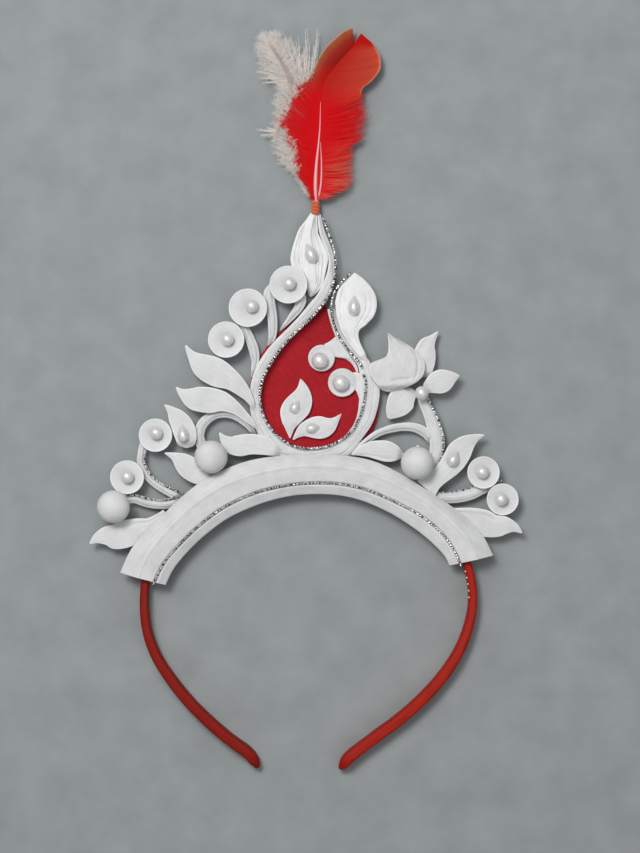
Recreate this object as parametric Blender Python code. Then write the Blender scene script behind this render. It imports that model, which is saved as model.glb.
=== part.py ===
"""Sola pith crown on a red Alice band, lying on its back.

The crown's front looks up (+Z), its plume points to +Y and the tips of the band to -Y.
Z = 0 is the surface that it lies on. The tables are in millimetres in that frame.
"""
from math import cos, pi, radians, sin

import bmesh
import bpy
from mathutils import Vector

MM = 0.001

# Driving dimensions, in millimetres
GAP = 0.3                # between glued pieces
FELT_THICK = 2.0
BAND_DEPTH = 8.0         # of the Alice band, from back to front
STEM_LOW = FELT_THICK + GAP
STEM_HIGH = 6.0
BRANCH_STEP = 0.2        # how far a stem's side branch lies below it
LEAF_LOW = STEM_HIGH + GAP
LEAF_HIGH = 8.0
BASE_LOW = BAND_DEPTH + GAP
CORD_RADIUS = 0.5
BEAD_SIDES = 10
BALL_SIDES = 16
DISC_SIDES = 16
BALL_RADIUS = 6.6
PEARL_RADIUS = 2.6

# Colours: red, green, blue, roughness
FINISHES = {
    "pith": (0.80, 0.79, 0.76, 0.85),
    "felt": (0.42, 0.012, 0.018, 0.95),
    "satin": (0.45, 0.012, 0.006, 0.5),
    "pearl": (0.75, 0.73, 0.70, 0.2),
    "silver": (0.62, 0.62, 0.60, 0.3),
    "thread": (0.75, 0.10, 0.02, 0.6),
    "red_feather": (0.60, 0.008, 0.010, 0.8),
    "white_feather": (0.80, 0.74, 0.68, 0.9),
}

# Cross-sections: side from -1 (left) to 1 (right), height from 0 (back) to 1 (front)
STRIP_SECTION = ((-1, 0), (-1, 0.72), (-0.6, 1), (0.6, 1), (1, 0.72), (1, 0))
LEAF_SECTION = ((-1, 0), (-1, 0.5), (-0.42, 1), (0.42, 1), (1, 0.5), (1, 0))
DOME_SECTION = ((-0.8, 0), (-1, 0.4), (-0.7, 0.86), (0, 1), (0.7, 0.86), (1, 0.4), (0.8, 0))

# The Alice band's centre line: x, y, thickness, back, front
BAND_ROWS = (
    (-19.2, -148.2, 1.6, 3.0, 5.0),
    (-20.4, -145.8, 4.0, 0.8, 7.2),
    (-23.4, -142.0, 4.5, 0.0, BAND_DEPTH),
    (-31.0, -136.4, 4.5, 0.0, BAND_DEPTH),
    (-39.8, -128.8, 4.5, 0.0, BAND_DEPTH),
    (-47.8, -120.6, 4.4, 0.0, BAND_DEPTH),
    (-55.0, -111.4, 4.2, 0.0, BAND_DEPTH),
    (-60.4, -102.6, 4.0, 0.0, BAND_DEPTH),
    (-63.8, -93.0, 3.7, 0.0, BAND_DEPTH),
    (-65.0, -83.0, 3.5, 0.0, BAND_DEPTH),
    (-64.4, -72.4, 3.2, 0.0, BAND_DEPTH),
    (-61.6, -61.6, 3.2, 0.0, BAND_DEPTH),
    (-55.2, -50.8, 3.4, 0.0, BAND_DEPTH),
    (-46.0, -41.8, 3.4, 0.0, BAND_DEPTH),
    (-33.0, -34.8, 3.4, 0.0, BAND_DEPTH),
    (-17.0, -30.8, 3.4, 0.0, BAND_DEPTH),
    (0.0, -29.8, 3.4, 0.0, BAND_DEPTH),
    (17.0, -30.8, 3.4, 0.0, BAND_DEPTH),
    (33.0, -35.4, 3.4, 0.0, BAND_DEPTH),
    (46.0, -43.2, 3.4, 0.0, BAND_DEPTH),
    (56.0, -52.4, 3.4, 0.0, BAND_DEPTH),
    (62.8, -61.0, 3.4, 0.0, BAND_DEPTH),
    (66.4, -71.0, 3.4, 0.0, BAND_DEPTH),
    (67.3, -82.0, 3.5, 0.0, BAND_DEPTH),
    (65.2, -92.6, 3.8, 0.0, BAND_DEPTH),
    (61.2, -102.2, 4.1, 0.0, BAND_DEPTH),
    (55.0, -111.6, 4.4, 0.0, BAND_DEPTH),
    (46.9, -120.6, 4.5, 0.0, BAND_DEPTH),
    (37.8, -128.6, 4.5, 0.0, BAND_DEPTH),
    (27.8, -136.0, 4.5, 0.0, BAND_DEPTH),
    (18.4, -143.2, 4.5, 0.0, BAND_DEPTH),
    (15.4, -146.6, 4.0, 0.8, 7.2),
    (13.9, -148.8, 1.6, 3.0, 5.0),
)

# The base strip along its cord: x, y, then the widths of the middle field, the outer slope and the lip
BASE_ROWS = (
    (-60.6, -73.0, 7.0, 7.4, 4.6),
    (-57.4, -66.4, 7.4, 6.8, 4.5),
    (-53.0, -60.6, 7.6, 6.2, 4.4),
    (-48.2, -55.6, 7.8, 5.4, 4.3),
    (-42.2, -50.0, 8.0, 5.4, 4.4),
    (-33.0, -43.2, 8.0, 5.6, 4.6),
    (-20.6, -37.4, 7.6, 5.6, 4.8),
    (-8.6, -34.4, 7.3, 4.9, 4.5),
    (1.8, -33.3, 7.2, 4.3, 4.5),
    (13.2, -33.6, 7.0, 4.5, 4.6),
    (23.8, -35.8, 6.9, 4.9, 4.7),
    (34.6, -40.2, 6.7, 4.4, 4.9),
    (44.2, -45.1, 6.3, 3.8, 5.6),
    (50.7, -49.7, 6.2, 4.2, 5.7),
    (56.2, -55.2, 6.4, 5.2, 5.3),
    (59.8, -60.6, 6.9, 6.2, 4.5),
    (61.9, -65.4, 7.0, 6.8, 4.3),
)
# Its cut ends run square across in the photo's frame, not at right angles to the arch: outer to inner
BASE_END_WAYS = ((0.965, -0.262), (-0.975, -0.222))
BASE_EDGE_HIGH = 8.9
BASE_RIDGE_HIGH = 12.6
BASE_FIELD_HIGH = 12.0
BASE_GROOVE_HIGH = 11.2
BASE_GROOVE_LOW = 10.4
BASE_LIP_HIGH = 11.0
BASE_INNER_HIGH = 9.2
BASE_GROOVE_HALF = 0.9
BASE_CORD_Z = BASE_GROOVE_LOW + GAP + CORD_RADIUS

# The felt drop: y, left edge, right edge
FELT_ROWS = (
    (39.0, 5.6, 7.2),
    (34.0, -2.4, 10.6),
    (27.0, -11.0, 14.6),
    (19.0, -17.6, 19.6),
    (11.0, -21.4, 25.4),
    (3.0, -22.8, 29.4),
    (-5.0, -22.2, 29.4),
    (-12.0, -20.0, 27.2),
    (-19.0, -16.2, 22.4),
    (-24.0, -11.6, 16.6),
    (-27.4, -5.0, 8.0),
)

# Strips and stems: x, y, width
STEMS = {
    "drop_frame_left": (
        (5.6, 73.6, 1.2), (6.6, 68.4, 2.2), (8.5, 63.0, 2.5), (10.3, 57.4, 2.4),
        (10.3, 52.8, 2.8), (9.5, 48.0, 4.0), (6.8, 41.8, 4.6), (2.3, 36.2, 4.6), (-2.0, 31.6, 4.0),
        (-6.0, 27.6, 3.8), (-10.6, 22.8, 4.2), (-14.4, 18.0, 4.6), (-17.8, 12.4, 4.6),
        (-19.9, 6.4, 4.4), (-20.4, 0.0, 4.6), (-19.3, -6.6, 5.0), (-16.0, -13.2, 5.6),
        (-10.2, -18.6, 5.4), (-2.8, -21.4, 5.0),
    ),
    "drop_frame_right": (
        (10.2, 37.0, 3.0), (11.8, 31.4, 3.4), (14.2, 25.8, 3.8), (18.4, 20.8, 4.4),
        (23.0, 15.5, 5.0), (24.8, 10.6, 6.2), (25.8, 4.6, 8.2), (25.3, -2.0, 7.8),
        (23.6, -8.4, 6.8), (19.8, -14.2, 5.8), (14.2, -18.6, 5.2), (7.0, -21.2, 5.0),
        (-0.2, -21.9, 5.0),
    ),
    "disc_stem_1": (
        (-4.4, 45.0, 4.0), (-2.0, 41.0, 4.6), (-3.0, 37.2, 3.8), (-6.3, 32.9, 2.4),
        (-8.6, 30.2, 1.6), (-10.2, 28.3, 0.5),
    ),
    "disc_stem_2": (
        (-13.4, 46.8, 1.6), (-14.8, 43.2, 4.4), (-14.1, 38.6, 4.4), (-13.0, 33.0, 4.2),
        (-13.1, 28.0, 3.6), (-15.0, 23.9, 2.0), (-16.9, 20.9, 0.6),
    ),
    "disc_stem_3": (
        (-25.2, 30.6, 3.0), (-22.6, 25.0, 3.8), (-21.0, 19.8, 4.0), (-21.5, 14.8, 2.4),
        (-22.8, 9.4, 0.7),
    ),
    "left_arch": (
        (-37.4, -31.2, 5.0), (-38.2, -26.0, 5.2), (-40.6, -20.6, 4.8), (-42.9, -15.4, 4.2),
        (-42.2, -10.8, 4.2), (-39.4, -7.4, 4.0), (-35.2, -5.5, 3.6), (-30.4, -5.6, 3.4),
        (-26.2, -7.4, 3.6), (-23.1, -10.3, 3.0), (-21.8, -12.3, 2.2),
    ),
    "right_arch": (
        (16.6, -22.6, 1.2), (19.9, -20.2, 2.0), (23.3, -17.5, 2.4), (26.6, -15.0, 2.7),
        (30.0, -13.0, 2.9), (34.6, -11.5, 3.2), (40.0, -10.7, 3.4),
        (44.6, -11.2, 3.8), (48.6, -13.4, 4.0), (51.6, -17.0, 4.0),
    ),
    "flower_stem": (
        (46.6, 3.4, 3.6), (47.8, -0.6, 4.6), (50.0, -5.4, 5.2), (51.8, -10.4, 6.0),
        (53.0, -16.0, 6.2), (52.8, -21.0, 6.0), (50.8, -25.6, 6.0), (47.4, -29.4, 5.8),
        (43.6, -32.8, 5.0),
    ),
    "left_stem_upper": (
        (-61.6, -13.0, 3.6), (-64.8, -17.0, 3.6), (-66.1, -21.4, 3.4), (-66.2, -25.6, 3.5),
        (-63.6, -30.6, 3.6), (-59.4, -34.3, 3.6), (-54.4, -37.1, 3.8), (-49.8, -39.2, 4.2),
    ),
    "left_stem_lower": (
        (-78.0, -43.0, 3.8), (-74.4, -40.8, 3.8), (-69.4, -39.7, 3.8), (-64.0, -41.2, 4.0),
        (-58.4, -41.9, 4.2), (-53.8, -41.4, 4.2), (-50.6, -39.8, 4.0),
    ),
    "right_stem": (
        (48.6, -40.6, 3.0), (52.4, -39.6, 4.4), (56.8, -39.4, 4.6), (61.6, -39.0, 4.8),
        (66.6, -37.8, 4.8), (71.0, -35.8, 4.6), (75.6, -33.8, 4.2),
    ),
}

# Leaves and petals: back, front, then rows of x, y, width
LEAVES = {
    "top_leaf": (STEM_LOW, STEM_HIGH, (
        (3.1, 74.2, 2.8), (1.9, 70.6, 5.8), (0.9, 66.8, 8.8), (0.9, 61.6, 12.6),
        (1.3, 56.6, 14.8), (2.1, 52.0, 11.8), (2.8, 47.8, 7.4), (2.4, 44.2, 3.6),
        (1.8, 41.9, 1.6),
    )),
    "side_leaf": (LEAF_LOW, 8.6, (
        (19.7, 51.2, 0.6), (20.3, 48.2, 6.8), (20.3, 43.6, 14.2), (20.2, 38.2, 16.8),
        (18.9, 33.2, 13.8), (18.1, 28.6, 8.2), (19.1, 24.6, 4.8), (21.2, 20.6, 3.6),
        (23.2, 17.6, 2.6), (24.5, 15.9, 1.0),
    )),
    "leaf_left_1": (LEAF_LOW, 8.6, (
        (-48.2, 22.0, 0.6), (-45.8, 18.2, 3.8), (-41.3, 14.0, 9.8), (-35.4, 10.9, 11.4),
        (-29.6, 7.8, 8.2), (-25.0, 3.6, 5.6), (-21.8, -0.6, 3.0),
    )),
    "leaf_left_2": (LEAF_LOW, 8.6, (
        (-52.0, 5.2, 0.6), (-49.7, 3.0, 3.6), (-45.2, 0.8, 9.0), (-39.0, 0.0, 10.4),
        (-33.4, -0.6, 8.2), (-28.0, -3.4, 5.0), (-23.6, -7.2, 3.2), (-20.8, -10.0, 1.8),
    )),
    "leaf_left_3": (LEAF_LOW, LEAF_HIGH, (
        (-34.6, -13.1, 0.6), (-33.0, -15.4, 3.2), (-30.4, -17.6, 7.0), (-27.0, -18.3, 8.6),
        (-23.4, -17.8, 8.4), (-19.8, -17.0, 7.4), (-16.4, -16.2, 5.4), (-13.6, -15.6, 3.0),
    )),
    "leaf_left_4": (LEAF_LOW, LEAF_HIGH, (
        (-56.7, -1.9, 0.6), (-54.3, -3.9, 3.4), (-52.0, -6.6, 7.0), (-49.7, -10.0, 8.8),
        (-48.3, -13.8, 9.0), (-48.0, -16.8, 7.8), (-48.0, -19.2, 5.0),
    )),
    "leaf_left_5": (LEAF_LOW, LEAF_HIGH, (
        (-56.6, -21.3, 0.6), (-53.2, -22.5, 3.2), (-50.2, -24.4, 7.0), (-47.3, -26.8, 9.0),
        (-44.4, -29.4, 8.2), (-41.2, -31.6, 6.0), (-38.4, -33.0, 4.0),
    )),
    "leaf_left_6": (LEAF_LOW, LEAF_HIGH, (
        (-86.7, -57.7, 0.6), (-83.7, -55.6, 4.4), (-80.0, -54.6, 7.8), (-76.0, -54.8, 10.4),
        (-71.4, -53.4, 11.2), (-66.8, -51.4, 10.0), (-62.8, -49.2, 7.6), (-59.6, -47.4, 5.4),
    )),
    "leaf_right_1": (LEAF_LOW, LEAF_HIGH, (
        (15.8, -20.9, 1.6), (18.8, -20.6, 2.4), (22.2, -19.9, 4.6), (27.0, -19.7, 7.0),
        (31.6, -20.4, 8.4), (35.4, -21.3, 7.2), (38.0, -22.0, 4.0), (39.6, -22.4, 1.0),
    )),
    "leaf_right_2": (LEAF_LOW, LEAF_HIGH, (
        (71.8, -14.1, 0.6), (68.5, -15.1, 3.2), (64.8, -17.5, 7.4), (61.9, -20.7, 9.8),
        (59.7, -24.3, 9.6), (57.0, -27.6, 8.4), (53.8, -30.4, 6.6), (50.8, -32.8, 5.2),
    )),
    "leaf_right_3": (LEAF_LOW, LEAF_HIGH, (
        (87.0, -53.4, 0.6), (84.0, -51.2, 4.0), (80.2, -50.4, 7.4), (76.0, -50.6, 9.2),
        (71.4, -49.5, 11.0), (66.4, -48.6, 10.8), (61.6, -47.4, 8.6), (58.2, -46.2, 6.0),
    )),
    "petal_2": (3.9, STEM_HIGH, (
        (53.3, 27.6, 0.6), (51.2, 25.0, 3.2), (48.9, 22.0, 7.2), (47.8, 17.6, 9.2),
        (46.9, 13.2, 9.4), (46.0, 9.6, 7.4),
    )),
    "petal_3": (LEAF_LOW, 8.4, (
        (61.8, 9.8, 0.6), (59.2, 9.2, 5.0), (55.8, 8.0, 9.2), (52.4, 6.8, 9.0),
        (49.7, 5.4, 6.0), (47.8, 4.2, 3.4),
    )),
    "petal_4": (3.9, STEM_HIGH, (
        (33.4, -7.3, 1.4), (35.0, -5.0, 6.4), (37.2, -2.2, 10.2), (39.4, 0.9, 10.8),
        (41.6, 3.1, 6.8), (42.6, 5.0, 3.6),
    )),
    "felt_leaf_1": (STEM_LOW, 4.6, (
        (-6.5, -15.2, 0.6), (-7.0, -10.6, 4.8), (-5.8, -5.8, 9.0), (-4.0, -1.6, 11.2),
        (-2.1, 1.6, 8.7), (-1.8, 4.6, 4.4), (-1.8, 6.8, 1.9), (-2.1, 9.1, 0.4),
    )),
    "felt_leaf_2": (STEM_LOW, 4.6, (
        (-5.0, -15.9, 0.6), (-3.3, -14.0, 2.6), (-0.6, -12.0, 5.8), (3.2, -11.1, 8.6),
        (6.8, -10.9, 9.0), (9.6, -10.0, 6.8), (12.0, -8.2, 3.2), (14.4, -5.5, 0.4),
    )),
}

# The flower's big petal: y, left edge, right edge
PETAL_ROWS = (
    (27.0, 32.9, 33.3), (25.4, 33.1, 35.7), (23.6, 33.3, 38.9), (21.3, 33.3, 42.6),
    (18.8, 33.0, 45.1), (17.2, 32.0, 46.4), (16.1, 29.2, 47.3), (14.9, 26.4, 47.9),
    (13.0, 25.5, 48.0), (10.4, 25.8, 47.4), (8.4, 27.0, 46.0), (6.6, 28.4, 43.6),
    (4.9, 29.8, 39.8), (3.4, 31.4, 35.8),
)
PETAL_HIGH = 10.4

# Drop pearls: x, y, angle of the point, width, length, back
DROP_PEARLS = {
    "drop_pearl_1": (2.0, 59.0, 112, 5.2, 8.2, STEM_HIGH + GAP),
    "drop_pearl_2": (19.4, 37.8, 88, 4.8, 8.2, 8.6 + GAP),
    "drop_pearl_3": (-49.2, -13.6, 98, 4.6, 7.4, LEAF_HIGH + GAP),
    "drop_pearl_4": (59.4, -23.6, 62, 5.0, 7.0, LEAF_HIGH + GAP),
}
FELT_PEARLS = {
    "felt_leaf_1": (-4.2, -2.6, 60, 4.6, 6.4),
    "felt_leaf_2": (3.0, -11.2, 10, 4.6, 6.4),
}
# A drop's outline: share of its length from the round end, share of its full width
DROP_OUTLINE = (
    (-0.5, 0.16), (-0.44, 0.55), (-0.3, 0.88), (-0.12, 1.0), (0.08, 0.9), (0.28, 0.58),
    (0.43, 0.26), (0.5, 0.08),
)
PEARL_SINK = 0.8         # how far a fused pearl sits in its setting
FLOWER_PEARL = (46.6, 2.8, 2.8, 8.7)  # x, y, radius, back

# Discs: x, y, radius, then the x and y of its pearl
DISCS = (
    (-6.9, 46.4, 7.6, -6.5, 46.8),
    (-23.2, 37.1, 7.7, -21.6, 37.7),
    (-31.9, 24.3, 7.3, -31.4, 24.4),
    (-60.3, -14.1, 6.7, -60.0, -13.2),
    (-71.7, -31.0, 6.8, -71.5, -30.8),
    (71.5, -29.1, 6.5, 70.9, -28.9),
    (79.2, -39.9, 6.4, 78.5, -39.8),
)
DISC_RIM = 8.9
DISC_DISH = 7.5
# A disc's turned section: share of the radius, height
DISC_SECTION = (
    (0.93, LEAF_LOW), (1.0, 6.9), (1.0, 8.4), (0.92, DISC_RIM), (0.78, 8.6), (0.42, DISC_DISH),
)

# Pith balls: x, y
BALLS = ((-76.8, -42.7), (-37.8, -22.8), (44.7, -25.2))
BALL_Z = LEAF_LOW + BALL_RADIUS
BALL_FOOT = 1.8

# Scrolls on the felt: disc x, y, radius, then its pearl's x, y, radius, and its tail as x, y, width
SCROLLS = {
    "scroll_upper": (6.4, 17.0, 5.4, 5.7, 15.9, 3.3, (
        (7.0, 18.0, 6.0), (9.5, 20.3, 5.8), (12.3, 20.7, 5.0), (14.7, 18.6, 3.0),
        (16.6, 16.3, 2.0), (18.3, 14.0, 1.2), (19.8, 11.8, 0.6),
    )),
    "scroll_lower": (14.8, 7.1, 5.8, 14.1, 6.9, 3.3, (
        (16.4, 7.5, 7.6), (18.8, 7.2, 6.8), (21.1, 7.1, 7.2),
    )),
}
SCROLL_HIGH = 4.4

# Cords that are glued along the strips: x, y
DROP_CORD_ROUTE = (
    (6.8, 73.8), (9.3, 67.2), (11.5, 60.4), (12.1, 54.0), (11.3, 47.6), (8.6, 41.0), (4.0, 35.0),
    (-0.6, 30.4), (-4.8, 26.4), (-9.2, 21.6), (-12.6, 16.9), (-15.8, 11.6), (-17.9, 6.0),
    (-18.3, 0.0), (-17.1, -5.8), (-14.0, -11.4), (-8.8, -16.3), (-2.0, -19.2), (6.6, -19.0),
    (13.2, -16.6), (18.4, -12.6), (21.4, -7.4), (23.1, -2.4), (24.0, 2.6), (24.2, 7.4), (23.2, 10.4),
)
SIDE_CORD_ROUTE = (
    (18.2, 51.3), (15.6, 48.6), (13.3, 46.0), (11.4, 42.8), (10.4, 37.8), (10.8, 33.0), (12.3, 28.2),
    (14.7, 23.6), (17.2, 20.3), (19.7, 17.4), (21.9, 14.8), (22.7, 13.0),
)
STRIP_CORD_Z = STEM_HIGH + GAP + CORD_RADIUS

# The thread whipping at the top
BINDING_X = 3.9
BINDING_Z = 4.6
BINDING_LOW_Y = 74.6
BINDING_RADIUS = 1.85
# Its turns: radius, distance from the low end
BINDING_ROWS = (
    (1.2, 0.0), (1.7, 0.5), (BINDING_RADIUS, 1.4), (1.6, 2.3), (BINDING_RADIUS, 3.1),
    (1.6, 3.9), (BINDING_RADIUS, 4.8), (1.6, 5.6), (1.2, 6.2),
)

# Feathers, a row for each pair of locks: quill x, y, then the tips of the left and the right lock
RED_FEATHER = (
    (4.4, 81.2, 2.6, 83.4, 6.4, 83.0),
    (4.5, 84.0, -1.2, 89.4, 13.0, 86.4),
    (4.7, 88.0, -3.6, 94.4, 16.6, 90.4),
    (4.9, 92.0, -4.4, 99.6, 17.4, 95.6),
    (5.1, 96.4, -6.8, 104.4, 16.8, 100.8),
    (5.3, 101.0, -10.4, 109.0, 18.4, 105.6),
    (5.5, 105.6, -12.4, 113.2, 21.4, 110.2),
    (5.7, 110.2, -7.4, 118.0, 22.2, 115.8),
    (5.7, 114.8, -5.4, 123.2, 21.6, 121.6),
    (5.5, 119.4, -3.4, 128.4, 22.2, 126.2),
    (5.6, 123.6, 0.6, 132.6, 26.6, 129.0),
    (7.2, 127.6, 4.0, 137.4, 29.4, 134.0),
    (10.0, 132.0, 6.6, 141.6, 29.6, 139.2),
    (13.2, 136.4, 10.6, 145.4, 26.8, 144.2),
    (16.4, 140.6, 17.6, 149.4, 22.4, 147.8),
)
WHITE_FEATHER = (
    (3.2, 81.2, 1.6, 83.6, 5.6, 83.6),
    (2.4, 85.0, -4.8, 87.6, 7.4, 88.6),
    (1.4, 90.0, -9.6, 93.4, 8.0, 94.0),
    (0.2, 95.6, -13.0, 98.8, 7.6, 100.0),
    (-1.2, 101.4, -14.0, 106.2, 7.0, 106.0),
    (-2.8, 107.4, -18.4, 109.2, 6.0, 112.0),
    (-4.4, 113.2, -13.4, 117.6, 5.0, 118.4),
    (-5.8, 118.8, -14.2, 124.2, 4.0, 124.8),
    (-7.0, 124.0, -18.2, 128.6, 2.8, 131.4),
    (-8.0, 128.8, -19.4, 135.6, 1.8, 138.4),
    (-8.6, 133.0, -19.0, 142.4, 1.6, 145.0),
    (-8.8, 136.8, -13.4, 147.2, -1.6, 149.6),
)
RED_FEATHER_Z = (5.2, 6.6)
WHITE_FEATHER_Z = (3.2, 4.6)
LOCK_ROOT = 0.62         # where neighbouring locks part, as a share of their length
LOCK_LIFT = 0.5          # how far every second lock stands forward


def clear_scene():
    """Empty the scene."""
    for item in list(bpy.data.objects):
        bpy.data.objects.remove(item, do_unlink=True)


def material(name):
    """A Principled material for one of the finishes."""
    found = bpy.data.materials.get(name)
    if found:
        return found
    red, green, blue, rough = FINISHES[name]
    made = bpy.data.materials.new(name)
    made.use_nodes = True
    shader = made.node_tree.nodes["Principled BSDF"]
    shader.inputs["Base Color"].default_value = (red, green, blue, 1.0)
    shader.inputs["Roughness"].default_value = rough
    shader.inputs["Metallic"].default_value = 1.0 if name == "silver" else 0.0
    return made


def add_object(name, mesh_data, finish, sharp=50):
    """One closed solid as an object, from a bmesh in millimetres."""
    bmesh.ops.recalc_face_normals(mesh_data, faces=mesh_data.faces)
    bmesh.ops.scale(mesh_data, vec=(MM, MM, MM), verts=mesh_data.verts)
    mesh = bpy.data.meshes.new(name)
    mesh_data.to_mesh(mesh)
    mesh_data.free()
    mesh.shade_smooth()
    mesh.set_sharp_from_angle(angle=radians(sharp))
    mesh.materials.append(material(finish))
    item = bpy.data.objects.new(name, mesh)
    bpy.context.collection.objects.link(item)
    return item


def loft(mesh_data, rings):
    """Skin between closed rings of points, with a flat face on each end."""
    loops = [[mesh_data.verts.new(point) for point in ring] for ring in rings]
    count = len(loops[0])
    for here, after in zip(loops, loops[1:]):
        for index in range(count):
            following = (index + 1) % count
            mesh_data.faces.new((here[index], here[following], after[following], after[index]))
    mesh_data.faces.new(loops[0])
    mesh_data.faces.new(list(reversed(loops[-1])))


def curve_through(rows, steps):
    """A smooth run of rows through the table's rows, steps to a span."""
    made = []
    last = len(rows) - 1
    for index in range(last):
        before = rows[max(index - 1, 0)]
        start = rows[index]
        end = rows[index + 1]
        after = rows[min(index + 2, last)]
        for step in range(steps):
            t = step / steps
            made.append([
                0.5 * (2 * b + (c - a) * t + (2 * a - 5 * b + 4 * c - d) * t * t
                       + (3 * b - a - 3 * c + d) * t * t * t)
                for a, b, c, d in zip(before, start, end, after)
            ])
    made.append(list(rows[last]))
    return made


def side_vectors(rows):
    """For each row the unit vector to the right of the way that the rows run."""
    made = []
    last = len(rows) - 1
    for index in range(len(rows)):
        before = rows[max(index - 1, 0)]
        after = rows[min(index + 1, last)]
        way = Vector((after[0] - before[0], after[1] - before[1])).normalized()
        made.append(Vector((way.y, -way.x)))
    return made


def strip_rings(rows, low, high, section, steps=2, side=None):
    """Rings of a flat strip whose table gives x, y and width.

    The front is lower where the strip is narrow. A side given here holds for every row.
    """
    fine = curve_through(rows, steps)
    sides = [side] * len(fine) if side else side_vectors(fine)
    widest = max(row[2] for row in fine)
    rings = []
    for row, side in zip(fine, sides):
        half = max(row[2], 0.4) / 2
        share = 0.55 + 0.45 * min(1.0, row[2] / (0.6 * widest))
        ring = []
        for across, up in section:
            height = low + (high - low) * up * share
            ring.append((row[0] + side.x * half * across, row[1] + side.y * half * across, height))
        rings.append(ring)
    return rings


def add_strip(name, rows, low, high, section, finish="pith", steps=2):
    """A stem, strip or leaf."""
    mesh_data = bmesh.new()
    loft(mesh_data, strip_rings(rows, low, high, section, steps))
    return add_object(name, mesh_data, finish)


def turned_rings(x, y, rows, sides):
    """Rings round an upright axis, from rows of radius and height."""
    return [
        [(x + radius * cos(2 * pi * k / sides), y + radius * sin(2 * pi * k / sides), z)
         for k in range(sides)]
        for radius, z in rows
    ]


def tube_rings(route, radius, z, sides=5, steps=2):
    """Rings of a round cord that lies in a level plane."""
    fine = curve_through(route, steps)
    rings = []
    for row, side in zip(fine, side_vectors(fine)):
        ring = []
        for k in range(sides):
            angle = 2 * pi * k / sides
            out = radius * cos(angle)
            ring.append((row[0] + side.x * out, row[1] + side.y * out, z + radius * sin(angle)))
        rings.append(ring)
    return rings


def bead_rows(radius, low, start=-38):
    """Rows of a bead with a small flat back on low."""
    centre = low - radius * sin(radians(start))
    angles = (start, -6, 26, 58)
    rows = [(radius * cos(radians(a)), centre + radius * sin(radians(a))) for a in angles]
    rows.append((radius * 0.14, centre + radius * 0.99))
    return rows


def drop_rings(x, y, angle, width, length, low):
    """Rings of a drop pearl with a flat back. The angle is where its point looks."""
    way = Vector((cos(radians(angle)), sin(radians(angle))))
    side = Vector((way.y, -way.x))
    rings = []
    for along, wide in DROP_OUTLINE:
        centre = Vector((x, y)) + way * length * along
        half = width / 2 * wide
        high = width * 0.72 * wide ** 0.8
        ring = []
        for across, up in DOME_SECTION:
            ring.append((centre.x + side.x * half * across, centre.y + side.y * half * across,
                         low + high * up))
        rings.append(ring)
    return rings


def join_solids(name, ring_sets, finish):
    """Several lofted solids that run into each other, fused into one."""
    parts = []
    for index, rings in enumerate(ring_sets):
        mesh_data = bmesh.new()
        loft(mesh_data, rings)
        parts.append(add_object(name if index == 0 else f"{name}_cut_{index}", mesh_data, finish))
    body = parts[0]
    for other in parts[1:]:
        other.hide_render = True
        other.display_type = "WIRE"
        fuse = body.modifiers.new("fuse", "BOOLEAN")
        fuse.operation = "UNION"
        fuse.solver = "EXACT"
        fuse.object = other
    return body


def add_band():
    """The cloth-covered Alice band: an upright strip bent round the head."""
    fine = curve_through(BAND_ROWS, 2)
    rings = []
    for row, side in zip(fine, side_vectors(fine)):
        x, y, thick, back, front = row
        back = max(back, 0.0)
        bevel = min(1.0, thick / 3)
        half = thick / 2
        outline = (
            (-half, back), (-half, front - bevel), (-half + bevel, front),
            (half - bevel, front), (half, front - bevel), (half, back),
        )
        rings.append([(x + side.x * across, y + side.y * across, z) for across, z in outline])
    mesh_data = bmesh.new()
    loft(mesh_data, rings)
    add_object("headband", mesh_data, "satin")


def add_base():
    """The pith arch in front of the band, and the cord in its groove."""
    fine = curve_through(BASE_ROWS, 2)
    sides = side_vectors(fine)
    sides[0] = Vector(BASE_END_WAYS[0])
    sides[-1] = Vector(BASE_END_WAYS[1])
    rings = []
    for row, side in zip(fine, sides):
        x, y, field, slope, lip = row
        # The rows run from left to right, so the outer edge is on the left of the way
        outline = (
            (-field - slope, BASE_LOW), (-field - slope, BASE_EDGE_HIGH),
            (-field, BASE_RIDGE_HIGH), (-field * 0.5, BASE_FIELD_HIGH),
            (-BASE_GROOVE_HALF, BASE_GROOVE_HIGH), (-0.5, BASE_GROOVE_LOW), (0.5, BASE_GROOVE_LOW),
            (BASE_GROOVE_HALF, BASE_LIP_HIGH), (lip, BASE_INNER_HIGH), (lip, BASE_LOW),
        )
        rings.append([(x + side.x * across, y + side.y * across, z) for across, z in outline])
    mesh_data = bmesh.new()
    loft(mesh_data, rings)
    add_object("base_strip", mesh_data, "pith", 25)

    mesh_data = bmesh.new()
    loft(mesh_data, tube_rings([row[:2] for row in BASE_ROWS], CORD_RADIUS, BASE_CORD_Z))
    add_object("base_cord", mesh_data, "silver")


def add_felt():
    """The felt drop, a flat sheet."""
    fine = curve_through(FELT_ROWS, 2)
    outline = [(left, y) for y, left, right in fine]
    outline += [(right, y) for y, left, right in reversed(fine)]
    mesh_data = bmesh.new()
    loft(mesh_data, [[(x, y, z) for x, y in outline] for z in (0.0, FELT_THICK)])
    add_object("red_panel", mesh_data, "felt")


def add_stems():
    """The strips round the felt and the curved stems."""
    low = STEM_LOW
    high = STEM_HIGH
    single = ("drop_frame_left", "drop_frame_right", "disc_stem_1", "disc_stem_2", "disc_stem_3",
              "left_arch", "right_stem")
    for name in single:
        add_strip(name, STEMS[name], low, high, STRIP_SECTION)
    fused = {
        "left_stems": ("left_stem_upper", "left_stem_lower"),
        "right_branch": ("flower_stem", "right_arch"),
    }
    for name, keys in fused.items():
        ring_sets = [strip_rings(STEMS[key], low, high - BRANCH_STEP * index, STRIP_SECTION)
                     for index, key in enumerate(keys)]
        join_solids(name, ring_sets, "pith")


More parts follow.
